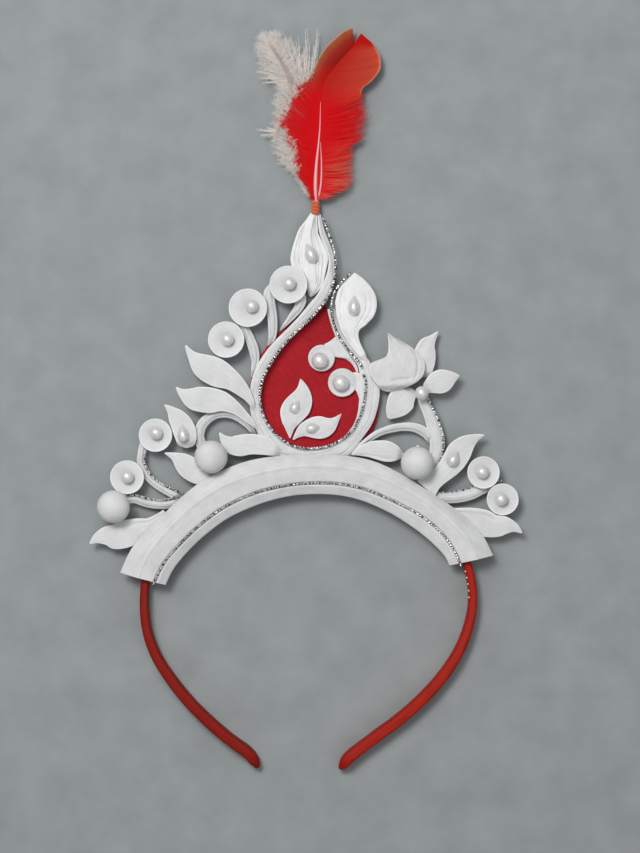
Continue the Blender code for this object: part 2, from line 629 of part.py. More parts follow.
def add_leaves():
    """Leaves and petals, and the pearls that lie on them."""
    for name, (low, high, rows) in LEAVES.items():
        if name in FELT_PEARLS:
            x, y, angle, width, length = FELT_PEARLS[name]
            leaf = strip_rings(rows, low, high, LEAF_SECTION)
            pearl = drop_rings(x, y, angle, width, length, high - PEARL_SINK)
            join_solids(name, (leaf, pearl), "pith")
        else:
            add_strip(name, rows, low, high, LEAF_SECTION)
    rows = [((left + right) / 2, y, right - left) for y, left, right in PETAL_ROWS]
    mesh_data = bmesh.new()
    loft(mesh_data, strip_rings(rows, LEAF_LOW, PETAL_HIGH, LEAF_SECTION, 1, Vector((-1.0, 0.0))))
    add_object("petal_1", mesh_data, "pith")
    for name, (x, y, angle, width, length, low) in DROP_PEARLS.items():
        mesh_data = bmesh.new()
        loft(mesh_data, drop_rings(x, y, angle, width, length, low))
        add_object(name, mesh_data, "pearl")


def add_scrolls():
    """The two scrolls on the felt: a disc, its tail and its pearl in one."""
    for name, (x, y, radius, pearl_x, pearl_y, pearl, tail) in SCROLLS.items():
        disc = turned_rings(x, y, (
            (radius * 0.94, STEM_LOW), (radius, STEM_LOW + 0.5), (radius, SCROLL_HIGH - 0.5),
            (radius * 0.9, SCROLL_HIGH),
        ), DISC_SIDES)
        strip = strip_rings(tail, STEM_LOW, SCROLL_HIGH - 0.1, STRIP_SECTION)
        bead = turned_rings(pearl_x, pearl_y, bead_rows(pearl, SCROLL_HIGH - PEARL_SINK), BEAD_SIDES)
        join_solids(name, (disc, strip, bead), "pith")


def add_turned(name, x, y, rows, sides, finish):
    """A round piece on an upright axis."""
    mesh_data = bmesh.new()
    loft(mesh_data, turned_rings(x, y, rows, sides))
    return add_object(name, mesh_data, finish)


def add_discs_and_balls():
    """The dished discs with their pearls, the balls and the flower's pearl."""
    for number, (x, y, radius, pearl_x, pearl_y) in enumerate(DISCS, 1):
        rows = [(radius * share, z) for share, z in DISC_SECTION]
        add_turned(f"disc_{number}", x, y, rows, DISC_SIDES, "pith")
        rows = bead_rows(PEARL_RADIUS, DISC_DISH + 2 * GAP)
        add_turned(f"pearl_{number}", pearl_x, pearl_y, rows, BEAD_SIDES, "pearl")
    for number, (x, y) in enumerate(BALLS, 1):
        rows = [(BALL_FOOT, LEAF_LOW)]
        for angle in (-58, -35, -12, 12, 35, 58, 78):
            rows.append((BALL_RADIUS * cos(radians(angle)), BALL_Z + BALL_RADIUS * sin(radians(angle))))
        add_turned(f"ball_{number}", x, y, rows, BALL_SIDES, "pith")
    add_turned("flower_pearl", *FLOWER_PEARL[:2], bead_rows(*FLOWER_PEARL[2:]), BEAD_SIDES, "pearl")


def add_cords():
    """The silver cords along the strips."""
    for name, route in (("drop_cord", DROP_CORD_ROUTE), ("side_cord", SIDE_CORD_ROUTE)):
        mesh_data = bmesh.new()
        loft(mesh_data, tube_rings(route, CORD_RADIUS, STRIP_CORD_Z))
        add_object(name, mesh_data, "silver")


def add_feather(name, rows, heights, finish):
    """A feather as one solid: a ridge at the quill, and parted locks to both sides."""
    low, high = heights
    mesh_data = bmesh.new()
    quill = [Vector(row[:2]) for row in rows]
    step = quill[-1] - quill[-2]
    quill.append(quill[-1] + step * 0.8)

    def column(point, bottom, top):
        return (mesh_data.verts.new((point.x, point.y, bottom)),
                mesh_data.verts.new((point.x, point.y, top)))

    spine = [column(point, low, high) for point in quill]
    edges = []
    for side in (0, 1):
        tips = [Vector(row[2 + 2 * side:4 + 2 * side]) for row in rows]
        parts = []
        for index, tip in enumerate(tips):
            lift = LOCK_LIFT * (index % 2)
            middle = (low + high) / 2
            if index == 0:
                start = quill[0].lerp(tip, 0.3)
            else:
                start = (quill[index].lerp(tips[index - 1], LOCK_ROOT)
                         + quill[index].lerp(tip, LOCK_ROOT)) / 2
            root = column(start, low + 0.2, high - 0.2)
            end = column(tip, middle - 0.2 + lift * 0.5, middle + 0.2 + lift * 0.5)
            parts.append((root, end))
        edges.append(parts)

    def panel(*corners):
        mesh_data.faces.new([pair[1] for pair in corners])
        mesh_data.faces.new([pair[0] for pair in reversed(corners)])

    def wall(first, second):
        mesh_data.faces.new((first[0], second[0], second[1], first[1]))

    for side, parts in enumerate(edges):
        last = len(parts) - 1
        for index, (root, end) in enumerate(parts):
            ahead = parts[index + 1][0] if index < last else spine[-1]
            corners = [spine[index], root, end, ahead]
            if index < last:
                corners.append(spine[index + 1])
            if side:
                corners.reverse()
            panel(*corners)
            wall(root, end)
            wall(end, ahead)
        wall(spine[0], parts[0][0])
    bmesh.ops.triangulate(mesh_data, faces=mesh_data.faces)
    return add_object(name, mesh_data, finish)


def add_plume():
    """The thread whipping and the two feathers that it holds."""
    rings = []
    for radius, along in BINDING_ROWS:
        ring = []
        for k in range(BEAD_SIDES):
            angle = 2 * pi * k / BEAD_SIDES
            ring.append((BINDING_X + radius * cos(angle), BINDING_LOW_Y + along,
                         BINDING_Z + radius * sin(angle)))
        rings.append(ring)
    mesh_data = bmesh.new()
    loft(mesh_data, rings)
    add_object("plume_binding", mesh_data, "thread")
    add_feather("red_feather", RED_FEATHER, RED_FEATHER_Z, "red_feather")
    add_feather("white_feather", WHITE_FEATHER, WHITE_FEATHER_Z, "white_feather")


def main():
    clear_scene()
    add_band()
    add_base()
    add_felt()
    add_stems()
    add_leaves()
    add_scrolls()
    add_discs_and_balls()
    add_cords()
    add_plume()


main()
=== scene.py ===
"""Looks of the sola pith crown, which lies on its back on a pale floor.

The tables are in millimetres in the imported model's frame: +Z looks out of the crown's front and +Y
runs towards the plume. Each carved piece is lofted here from the same rows as its plain solid, with
rounded edges, relief and grain.
"""
from math import cos, exp, pi, radians, sin, sqrt

import bpy
import numpy as np
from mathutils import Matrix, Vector, noise


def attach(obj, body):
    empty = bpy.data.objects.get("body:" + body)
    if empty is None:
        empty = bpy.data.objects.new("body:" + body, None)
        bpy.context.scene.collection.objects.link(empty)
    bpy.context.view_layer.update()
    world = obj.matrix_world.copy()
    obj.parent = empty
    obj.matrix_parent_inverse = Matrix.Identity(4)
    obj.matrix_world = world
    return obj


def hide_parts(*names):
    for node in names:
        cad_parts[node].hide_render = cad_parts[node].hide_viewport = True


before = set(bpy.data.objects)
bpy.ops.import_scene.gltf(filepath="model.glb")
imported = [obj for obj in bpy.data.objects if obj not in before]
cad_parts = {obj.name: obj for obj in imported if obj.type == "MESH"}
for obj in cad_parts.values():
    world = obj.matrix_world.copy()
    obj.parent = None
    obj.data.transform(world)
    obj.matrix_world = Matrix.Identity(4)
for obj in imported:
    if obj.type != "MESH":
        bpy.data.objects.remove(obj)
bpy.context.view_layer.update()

MM = 0.001

# Heights, in millimetres
GAP = 0.3
FELT_THICK = 2.0
BAND_DEPTH = 8.0
STEM_LOW = FELT_THICK + GAP
STEM_HIGH = 6.0
LEAF_LOW = STEM_HIGH + GAP
LEAF_HIGH = 8.0
BASE_LOW = BAND_DEPTH + GAP
CORD_RADIUS = 0.5
BALL_RADIUS = 6.6
PEARL_RADIUS = 2.6

# The Alice band's centre line: x, y, thickness
BAND_ROWS = (
    (-19.2, -148.2, 1.6), (-20.4, -145.8, 4.0), (-23.4, -142.0, 4.5), (-31.0, -136.4, 4.5),
    (-39.8, -128.8, 4.5), (-47.8, -120.6, 4.4), (-55.0, -111.4, 4.2), (-60.4, -102.6, 4.0),
    (-63.8, -93.0, 3.7), (-65.0, -83.0, 3.5), (-64.4, -72.4, 3.2), (-61.6, -61.6, 3.2),
    (-55.2, -50.8, 3.4), (-46.0, -41.8, 3.4), (-33.0, -34.8, 3.4), (-17.0, -30.8, 3.4),
    (0.0, -29.8, 3.4), (17.0, -30.8, 3.4), (33.0, -35.4, 3.4), (46.0, -43.2, 3.4),
    (56.0, -52.4, 3.4), (62.8, -61.0, 3.4), (66.4, -71.0, 3.4), (67.3, -82.0, 3.5),
    (65.2, -92.6, 3.8), (61.2, -102.2, 4.1), (55.0, -111.6, 4.4), (46.9, -120.6, 4.5),
    (37.8, -128.6, 4.5), (27.8, -136.0, 4.5), (18.4, -143.2, 4.5), (15.4, -146.6, 4.0),
    (13.9, -148.8, 1.6),
)
BAND_TIPS = ((3.0, 5.0), (0.8, 7.2))   # back and front of the two rows at each tip
BAND_CORNER = 1.1
STITCH_SPACING = 2.4
STITCH_Y = (-80.5, -66.0)
STITCH_TURNING = ((0.02, 7.0), (0.26, 7.1), (0.36, 7.4), (0.26, 7.68), (0.02, 7.76))

# The base strip along its cord: x, y, then the widths of the middle field, the outer slope and the lip
BASE_ROWS = (
    (-60.6, -73.0, 7.0, 7.4, 4.6),
    (-57.4, -66.4, 7.4, 6.8, 4.5),
    (-53.0, -60.6, 7.6, 6.2, 4.4),
    (-48.2, -55.6, 7.8, 5.4, 4.3),
    (-42.2, -50.0, 8.0, 5.4, 4.4),
    (-33.0, -43.2, 8.0, 5.6, 4.6),
    (-20.6, -37.4, 7.6, 5.6, 4.8),
    (-8.6, -34.4, 7.3, 4.9, 4.5),
    (1.8, -33.3, 7.2, 4.3, 4.5),
    (13.2, -33.6, 7.0, 4.5, 4.6),
    (23.8, -35.8, 6.9, 4.9, 4.7),
    (34.6, -40.2, 6.7, 4.4, 4.9),
    (44.2, -45.1, 6.3, 3.8, 5.6),
    (50.7, -49.7, 6.2, 4.2, 5.7),
    (56.2, -55.2, 6.4, 5.2, 5.3),
    (59.8, -60.6, 6.9, 6.2, 4.5),
    (61.9, -65.4, 7.0, 6.8, 4.3),
)
# Its cut ends run square across in the photo's frame, not at right angles to the arch: outer to inner
BASE_END_WAYS = ((0.965, -0.262), (-0.975, -0.222))
BASE_EDGE_HIGH = 8.9
BASE_RIDGE_HIGH = 12.6
BASE_GROOVE_HIGH = 11.2
BASE_GROOVE_LOW = 10.4
BASE_LIP_HIGH = 11.0
BASE_INNER_HIGH = 9.2
BASE_GROOVE_HALF = 0.9
BASE_CORD_Z = BASE_GROOVE_LOW + GAP + CORD_RADIUS
# Its section at the ridge: across and height from the field's outer edge and the ridge's height
RIDGE_SECTION = ((-0.45, -0.30), (-0.1, -0.08), (0.25, 0.0), (0.6, -0.08), (0.95, -0.24))
# Its section at the groove: across and height
GROOVE_SECTION = (
    (-0.78, BASE_GROOVE_HIGH - 0.1), (-0.56, BASE_GROOVE_HIGH - 0.4), (-0.48, BASE_GROOVE_LOW),
    (0.48, BASE_GROOVE_LOW), (0.56, BASE_LIP_HIGH - 0.3), (0.78, BASE_LIP_HIGH - 0.05),
    (1.1, BASE_LIP_HIGH),
)

# The felt drop: y, left edge, right edge
FELT_ROWS = (
    (39.0, 5.6, 7.2),
    (34.0, -2.4, 10.6),
    (27.0, -11.0, 14.6),
    (19.0, -17.6, 19.6),
    (11.0, -21.4, 25.4),
    (3.0, -22.8, 29.4),
    (-5.0, -22.2, 29.4),
    (-12.0, -20.0, 27.2),
    (-19.0, -16.2, 22.4),
    (-24.0, -11.6, 16.6),
    (-27.4, -5.0, 8.0),
)

# Strips and stems: x, y, width
STEMS = {
    "drop_frame_left": (
        (5.4, 74.9, 1.4), (6.5, 68.4, 2.3), (8.5, 63.0, 2.5), (10.3, 57.4, 2.4),
        (10.3, 52.8, 2.8), (9.5, 48.0, 4.0), (6.8, 41.8, 4.6), (2.3, 36.2, 4.6), (-2.0, 31.6, 4.0),
        (-6.0, 27.6, 3.8), (-10.6, 22.8, 4.2), (-14.4, 18.0, 4.6), (-17.8, 12.4, 4.6),
        (-19.9, 6.4, 4.4), (-20.4, 0.0, 4.6), (-19.3, -6.6, 5.0), (-16.1, -13.3, 5.9),
        (-10.9, -19.5, 7.6), (-3.1, -22.2, 6.8), (-0.2, -22.6, 6.6),
    ),
    "drop_frame_right": (
        (10.2, 37.0, 3.0), (11.8, 31.4, 3.4), (14.2, 25.8, 3.8), (18.4, 20.8, 4.4),
        (23.0, 15.5, 5.0), (24.8, 10.6, 6.2), (25.8, 4.6, 8.2), (25.3, -2.0, 7.8),
        (23.6, -8.4, 6.8), (19.9, -14.3, 6.0), (15.0, -19.5, 7.4), (7.3, -22.3, 7.2),
        (-0.2, -22.6, 6.6),
    ),
    "disc_stem_1": (
        (-4.4, 45.0, 4.0), (-2.0, 41.0, 4.6), (-3.0, 37.2, 3.8), (-6.3, 32.9, 2.4),
        (-8.6, 30.2, 1.6), (-10.2, 28.3, 0.5),
    ),
    "disc_stem_2": (
        (-13.4, 46.8, 1.6), (-14.8, 43.2, 4.4), (-14.3, 38.6, 4.3), (-13.4, 33.0, 4.0),
        (-13.3, 28.0, 3.6), (-13.7, 25.0, 2.8), (-15.2, 22.2, 1.0),
    ),
    "disc_stem_3": (
        (-25.2, 30.6, 3.0), (-22.6, 25.0, 3.8), (-20.8, 19.8, 4.0), (-20.4, 14.8, 3.0),
        (-21.8, 9.4, 1.2),
    ),
    "left_arch": (
        (-37.4, -31.2, 5.0), (-38.2, -26.0, 5.2), (-40.6, -20.6, 4.8), (-42.9, -15.4, 4.2),
        (-42.2, -10.8, 4.2), (-39.4, -7.4, 4.0), (-35.2, -5.5, 3.6), (-30.4, -5.6, 3.4),
        (-26.2, -7.4, 3.6), (-23.1, -10.2, 3.0), (-21.4, -12.5, 2.2),
        (-19.8, -14.4, 1.2),
    ),
    "right_arch": (
        (16.6, -22.6, 1.2), (19.9, -20.2, 2.0), (23.3, -17.5, 2.4), (26.6, -15.0, 2.7),
        (30.0, -13.0, 2.9), (34.6, -11.5, 3.2), (40.0, -10.7, 3.4),
        (44.6, -11.2, 3.8), (48.6, -13.4, 4.0), (51.6, -17.0, 4.0),
    ),
    "flower_stem": (
        (46.6, 3.4, 3.6), (47.8, -0.6, 4.6), (50.0, -5.4, 5.2), (51.8, -10.4, 6.0),
        (53.0, -16.0, 6.2), (52.8, -21.0, 6.0), (50.8, -25.6, 6.0), (47.4, -29.4, 5.8),
        (43.6, -32.8, 5.0),
    ),
    "left_stem_upper": (
        (-61.6, -13.0, 3.6), (-64.8, -17.0, 3.6), (-66.1, -21.4, 3.4), (-66.2, -25.6, 3.5),
        (-63.6, -30.6, 3.6), (-59.4, -34.3, 3.6), (-54.4, -37.1, 3.8), (-49.8, -39.2, 4.2),
    ),
    "left_stem_lower": (
        (-78.0, -43.0, 3.8), (-74.4, -40.8, 3.8), (-69.4, -39.7, 3.8), (-64.0, -41.2, 4.0),
        (-58.4, -41.9, 4.2), (-53.8, -41.4, 4.2), (-50.6, -39.8, 4.0),
    ),
    "right_stem": (
        (48.6, -40.6, 3.0), (52.4, -39.6, 4.4), (56.8, -39.4, 4.6), (61.6, -39.0, 4.8),
        (66.6, -37.8, 4.8), (71.0, -35.8, 4.6), (75.6, -33.8, 4.2),
    ),
}

# Leaves and petals: back, front, then rows of x, y, width
FELT_LEAF_HIGH = 4.6
LEAVES = {
    "top_leaf": (STEM_LOW, STEM_HIGH, (
        (3.3, 75.2, 2.6), (2.0, 70.6, 6.0), (1.0, 66.8, 9.0), (1.1, 61.6, 13.0),
        (1.55, 56.6, 15.3), (2.4, 52.0, 12.4), (3.2, 47.8, 8.3), (2.7, 44.2, 4.3),
        (1.8, 41.9, 1.6),
    )),
    "side_leaf": (LEAF_LOW, 8.6, (
        (19.7, 51.2, 0.6), (20.0, 48.2, 7.4), (20.1, 43.6, 14.6), (20.2, 38.2, 16.8),
        (18.9, 33.2, 13.8), (18.1, 28.6, 8.2), (19.1, 24.6, 4.8), (21.2, 20.6, 3.6),
        (23.2, 17.6, 2.6), (24.5, 15.9, 1.0),
    )),
    "leaf_left_1": (LEAF_LOW, 8.6, (
        (-48.2, 22.0, 0.6), (-45.8, 18.2, 3.8), (-41.3, 14.0, 9.8), (-35.4, 10.9, 11.4),
        (-29.6, 7.8, 8.2), (-25.0, 3.6, 5.4), (-22.0, -0.6, 2.8),
        (-20.7, -4.4, 0.8),
    )),
    "leaf_left_2": (LEAF_LOW, 8.6, (
        (-52.0, 5.2, 0.6), (-49.7, 3.0, 3.6), (-45.2, 0.8, 9.0), (-39.0, 0.0, 10.4),
        (-33.4, -0.6, 8.2), (-28.0, -3.4, 5.0), (-23.6, -7.2, 3.2), (-20.8, -10.0, 1.8),
        (-19.0, -12.2, 0.7),
    )),
    "leaf_left_3": (LEAF_LOW, LEAF_HIGH, (
        (-34.6, -13.1, 0.6), (-33.0, -15.4, 3.2), (-30.4, -17.6, 7.0), (-27.0, -18.3, 8.6),
        (-23.4, -17.8, 8.4), (-19.8, -17.8, 8.2), (-16.4, -18.5, 7.4), (-13.0, -19.9, 5.4),
        (-9.8, -21.2, 3.0),
    )),
    "leaf_left_4": (LEAF_LOW, LEAF_HIGH, (
        (-56.7, -1.9, 0.6), (-54.3, -3.9, 3.4), (-52.0, -6.6, 7.0), (-49.7, -10.0, 8.8),
        (-48.3, -13.8, 9.0), (-48.0, -16.8, 7.8), (-48.0, -19.2, 5.0),
    )),
    "leaf_left_5": (LEAF_LOW, LEAF_HIGH, (
        (-56.6, -21.3, 0.6), (-53.2, -22.5, 3.2), (-50.2, -24.4, 7.0), (-47.3, -26.8, 9.0),
        (-44.4, -29.4, 8.2), (-41.2, -31.6, 6.0), (-38.4, -33.0, 4.0),
    )),
    "leaf_left_6": (LEAF_LOW, LEAF_HIGH, (
        (-86.7, -57.7, 0.6), (-83.7, -55.6, 4.4), (-80.0, -54.6, 7.8), (-76.0, -54.8, 10.4),
        (-71.4, -53.5, 11.0), (-66.8, -52.0, 9.4), (-62.6, -50.4, 6.4), (-59.0, -47.8, 4.4),
        (-56.4, -45.0, 2.6),
    )),
    "leaf_right_1": (LEAF_LOW, LEAF_HIGH, (
        (18.6, -21.9, 0.6), (20.8, -20.9, 3.0), (23.6, -20.2, 5.0), (27.0, -19.9, 7.0),
        (31.6, -20.4, 8.4), (35.4, -21.3, 7.2), (38.0, -22.0, 4.0), (39.6, -22.4, 1.0),
    )),
    "leaf_right_2": (LEAF_LOW, LEAF_HIGH, (
        (71.8, -14.1, 0.6), (68.5, -15.1, 3.2), (64.8, -17.5, 7.4), (61.9, -20.7, 9.8),
        (59.7, -24.3, 9.6), (57.0, -27.6, 8.4), (53.8, -30.4, 7.4), (50.8, -32.8, 8.2),
        (48.4, -35.6, 9.4),
    )),
    "leaf_right_3": (LEAF_LOW, LEAF_HIGH, (
        (87.0, -53.4, 0.6), (84.0, -51.2, 4.0), (80.2, -50.4, 7.4), (76.0, -50.6, 9.2),
        (71.4, -49.5, 11.0), (66.4, -48.6, 10.8), (61.6, -47.4, 8.6), (58.2, -46.2, 6.0),
    )),
    "petal_2": (3.9, STEM_HIGH, (
        (53.3, 27.6, 0.6), (51.2, 25.0, 3.2), (48.9, 22.0, 7.2), (47.8, 17.6, 9.2),
        (46.9, 13.2, 9.4), (46.0, 9.6, 7.4),
    )),
    "petal_3": (LEAF_LOW, 8.4, (
        (61.8, 9.8, 0.6), (59.2, 9.2, 5.0), (55.8, 8.0, 9.2), (52.4, 6.8, 9.0),
        (49.7, 5.4, 6.0), (47.8, 4.2, 3.4),
    )),
    "petal_4": (3.9, STEM_HIGH, (
        (33.4, -7.3, 1.4), (35.0, -5.0, 6.4), (37.2, -2.2, 10.2), (39.4, 0.9, 10.8),
        (41.6, 3.1, 6.8), (42.6, 5.0, 3.6),
    )),
    "felt_leaf_2": (STEM_LOW, FELT_LEAF_HIGH, (
        (-5.0, -15.9, 0.6), (-3.3, -14.0, 2.6), (-0.6, -12.0, 5.8), (3.2, -11.1, 8.6),
        (6.8, -10.9, 9.0), (9.6, -10.0, 6.8), (12.0, -8.2, 3.2), (14.4, -5.5, 0.4),
    )),
}

# The flower's big petal: y, left edge, right edge
PETAL_ROWS = (
    (27.0, 32.9, 33.3), (25.4, 33.1, 35.7), (23.6, 33.3, 38.9), (21.3, 33.3, 42.6),
    (18.8, 33.0, 45.1), (17.2, 32.0, 46.4), (16.1, 29.2, 47.3), (14.9, 26.4, 47.9),
    (13.0, 25.5, 48.0), (10.4, 25.8, 47.4), (8.4, 27.0, 46.0), (6.6, 28.4, 43.6),
    (4.9, 29.8, 39.8), (3.4, 31.4, 35.8),
)
PETAL_HIGH = 10.4

# Drop pearls: x, y, angle of the point, width, length, back
DROP_PEARLS = {
    "drop_pearl_1": (2.0, 59.0, 112, 5.2, 8.2, STEM_HIGH + GAP),
    "drop_pearl_2": (19.4, 37.8, 88, 4.8, 8.2, 8.6 + GAP),
    "drop_pearl_3": (-49.2, -13.6, 98, 4.6, 7.4, LEAF_HIGH + GAP),
    "drop_pearl_4": (59.4, -23.6, 62, 5.0, 7.0, LEAF_HIGH + GAP),
}
FELT_PEARLS = {
    "felt_leaf_1": (-4.2, -2.6, 60, 4.6, 6.4),
    "felt_leaf_2": (3.0, -11.2, 10, 4.6, 6.4),
}
# A drop's outline: share of its length from the round end, share of its full width
DROP_OUTLINE = (
    (-0.5, 0.16), (-0.44, 0.55), (-0.3, 0.88), (-0.12, 1.0), (0.08, 0.9), (0.28, 0.58),
    (0.43, 0.26), (0.5, 0.08),
)
PEARL_SINK = 0.8         # how far a fused pearl sits in its setting
FLOWER_PEARL = (46.6, 2.8, 2.8, 8.7)  # x, y, radius, back

# Discs: x, y, radius, then the x and y of its pearl
DISCS = (
    (-6.9, 46.4, 7.6, -6.5, 46.8),
    (-23.2, 37.1, 7.7, -21.6, 37.7),
    (-31.9, 24.3, 7.3, -31.4, 24.4),
    (-60.3, -14.1, 6.7, -60.0, -13.2),
    (-71.7, -31.0, 6.8, -71.5, -30.8),
    (71.5, -29.1, 6.5, 70.9, -28.9),
    (79.2, -39.9, 6.4, 78.5, -39.8),
)
DISC_DISH = 7.5
# A disc's turned section: share of the radius, height
DISC_TURNING = (
    (0.90, 6.3), (0.97, 6.4), (0.995, 6.7), (1.0, 7.2), (1.0, 8.5), (0.995, 8.7), (0.98, 8.82),
    (0.962, 8.84), (0.945, 8.76), (0.925, 8.62), (0.88, 8.5), (0.78, 8.36), (0.66, 8.2), (0.54, 8.02),
    (0.44, 7.86), (0.34, 7.7), (0.22, 7.6), (0.10, 7.56), (0.01, 7.55),
)

# Pith balls: x, y
BALLS = ((-76.8, -42.7), (-37.8, -22.8), (44.7, -25.2))
BALL_Z = LEAF_LOW + BALL_RADIUS
BALL_FOOT = 1.8
NUB_BALL = 3             # the ball with a stub of its stalk

# Scrolls on the felt: cup x, y, radius, then its pearl's x, y, radius
SCROLLS = {
    "scroll_upper": (6.4, 17.0, 5.4, 5.7, 15.9, 3.3),
    "scroll_lower": (14.8, 7.1, 5.8, 14.1, 6.9, 3.3),
}
SCROLL_HIGH = 4.4
# The upper scroll's tail fills the corner beside the frame: y, left edge, right edge
UPPER_TAIL_ROWS = (
    (25.7, 12.0, 12.6), (25.0, 11.2, 13.0), (24.2, 10.2, 13.4), (23.3, 8.9, 14.0), (22.5, 7.4, 14.6),
    (21.6, 8.5, 15.1), (20.7, 9.6, 15.6), (19.0, 10.9, 16.9), (17.6, 11.6, 18.0), (16.8, 15.6, 18.7),
    (15.4, 18.0, 19.8), (14.0, 19.1, 20.7), (12.3, 20.1, 21.2), (11.2, 20.5, 21.3),
)
# The lower one's spreads on to the frame: x, y, width
LOWER_TAIL_ROWS = (
    (18.6, 8.0, 6.0), (19.6, 7.9, 6.8), (20.6, 7.3, 7.8), (21.3, 6.2, 9.6), (22.0, 5.2, 11.4),
)
# The first leaf on the felt: y, left edge, right edge
FELT_LEAF_ROWS = (
    (-15.3, -6.5, -6.1), (-13.6, -7.3, -5.4), (-11.4, -8.3, -4.4), (-8.6, -9.6, -1.7),
    (-5.8, -10.2, 1.0), (-3.5, -10.1, 2.1), (-1.3, -9.2, 2.6), (0.4, -8.0, 2.6), (2.1, -6.3, 2.3),
    (3.8, -4.4, 1.7), (5.5, -3.2, 0.8), (7.2, -2.6, -0.5), (8.7, -2.3, -1.8),
)
# Cords that are glued along the strips: x, y
DROP_CORD_ROUTE = (
    (6.8, 73.8), (9.3, 67.2), (11.5, 60.4), (12.1, 54.0), (11.3, 47.6), (8.6, 41.0), (4.0, 35.0),
    (-0.6, 30.4), (-4.8, 26.4), (-9.2, 21.6), (-12.6, 16.9), (-15.8, 11.6), (-17.9, 6.0),
    (-18.3, 0.0), (-17.1, -5.8), (-14.0, -11.4), (-8.8, -16.3), (-2.0, -19.2), (6.6, -19.0),
    (13.2, -16.6), (18.4, -12.6), (21.4, -7.4), (23.1, -2.4), (24.0, 2.6), (24.2, 7.4), (23.2, 10.4),
)
SIDE_CORD_ROUTE = (
    (18.2, 51.3), (15.6, 48.6), (13.3, 46.0), (11.4, 42.8), (10.4, 37.8), (10.8, 33.0), (12.3, 28.2),
    (14.7, 23.6), (17.2, 20.3), (19.7, 17.4), (21.9, 14.8), (22.7, 13.0),
)
STRIP_CORD_Z = STEM_HIGH + GAP + CORD_RADIUS

# The thread whipping at the top
BINDING_X = 3.9
BINDING_Z = 4.6
BINDING_LOW_Y = 74.6
BINDING_RADIUS = 1.85
BINDING_LENGTH = 6.2

# The red feather, a row for each pair of barbs: quill x, y, then the tips of the left and the right barb
RED_VANES = (
    (4.4, 80.4, 2.6, 81.6, 6.2, 81.6), (4.6, 83.2, 0.6, 86.4, 10.6, 82.8),
    (4.8, 86.4, -2.2, 90.0, 15.8, 85.2), (5.0, 89.6, -3.8, 94.0, 17.8, 88.8),
    (5.2, 92.8, -4.6, 97.6, 18.2, 93.6), (5.4, 96.0, -4.2, 100.8, 18.2, 98.4),
    (5.6, 99.2, -6.6, 104.8, 17.8, 102.4), (5.8, 102.4, -8.6, 109.2, 20.2, 104.4),
    (5.8, 105.6, -10.6, 112.4, 22.2, 106.8), (5.8, 108.8, -7.4, 116.4, 22.6, 112.0),
    (6.0, 112.0, -5.4, 120.8, 23.0, 116.4), (6.2, 115.2, -4.2, 124.4, 22.6, 120.4),
    (6.4, 118.4, -1.4, 128.0, 22.2, 123.6), (6.6, 121.6, 1.4, 129.6, 23.4, 126.0),
    (7.0, 124.8, 3.6, 131.6, 25.8, 127.8), (7.6, 127.6, 4.0, 134.0, 28.2, 130.4),
    (9.0, 130.4, 4.8, 136.4, 30.0, 133.2), (10.8, 132.8, 6.4, 139.4, 30.2, 136.0),
    (12.8, 135.2, 8.2, 142.0, 29.7, 139.0), (14.8, 137.6, 10.6, 144.5, 28.2, 141.6),
    (16.8, 139.8, 13.2, 146.8, 26.4, 144.0), (18.4, 141.6, 15.8, 148.7, 24.4, 145.8),
    (19.6, 143.0, 18.9, 150.0, 22.4, 147.6),
)
# The y of a barb's tip above which the red feather's right and left vanes are closed
VANE_START = 122.0
VANE_START_LEFT = 132.0
VANE_STEPS = 4           # smooth rows to each of the feathers' own
# Heights of the two feathers' quills
RED_QUILL_Z = 6.1
WHITE_QUILL_Z = 3.9
WHITE_VANES = (
    (2.6, 81.6, 0.2, 84.0, 4.2, 84.0), (1.0, 85.6, -2.6, 88.8, 5.0, 88.8),
    (-0.6, 89.6, -5.0, 92.8, 5.0, 94.0), (-1.8, 93.6, -9.0, 96.0, 3.8, 99.2),
    (-3.0, 97.6, -11.4, 100.4, 2.6, 104.0), (-3.8, 101.6, -12.6, 104.8, 1.8, 108.8),
    (-4.2, 105.6, -13.0, 108.8, 1.4, 112.8), (-4.6, 109.6, -12.2, 113.6, 1.4, 116.8),
    (-4.6, 113.6, -11.8, 118.0, 1.4, 120.8), (-4.6, 117.6, -11.4, 122.0, 1.4, 124.8),
    (-4.6, 121.6, -10.6, 126.0, 2.2, 128.8), (-5.0, 125.6, -13.4, 129.6, 5.0, 133.6),
    (-6.2, 129.2, -17.4, 132.4, 2.6, 137.6), (-7.8, 132.4, -17.4, 136.8, -1.8, 140.0),
    (-9.8, 136.0, -18.6, 140.4, -5.0, 142.8), (-12.2, 139.6, -19.4, 143.2, -8.2, 145.2),
    (-14.2, 142.4, -18.6, 146.0, -11.4, 147.2), (-15.4, 144.0, -16.6, 147.6, -14.2, 148.0),
)
# Single long wisps of the down: root x, y, tip x, y
WISPS = (
    (-1.4, 130.4, -6.6, 146.8), (-1.0, 131.2, -4.2, 145.2), (-0.2, 130.4, -1.0, 142.4),
    (0.2, 131.2, 0.2, 149.4), (1.0, 130.4, 1.4, 144.8), (1.8, 129.6, 3.4, 142.4), (3.0, 129.6, 4.6, 149.0),
    (2.6, 128.8, 4.8, 145.6), (-3.8, 133.6, -9.0, 146.4), (-3.0, 132.0, -2.2, 143.2),
    (-8.2, 130.4, -19.4, 132.6), (-8.6, 129.6, -18.6, 129.8), (-9.0, 128.4, -17.4, 128.0),
    (-8.6, 131.2, -18.2, 134.0), (-11.0, 108.0, -19.4, 109.2), (-11.0, 107.6, -18.2, 108.0),
    (-10.6, 107.2, -17.0, 106.8), (-11.0, 108.4, -15.8, 109.6),
)
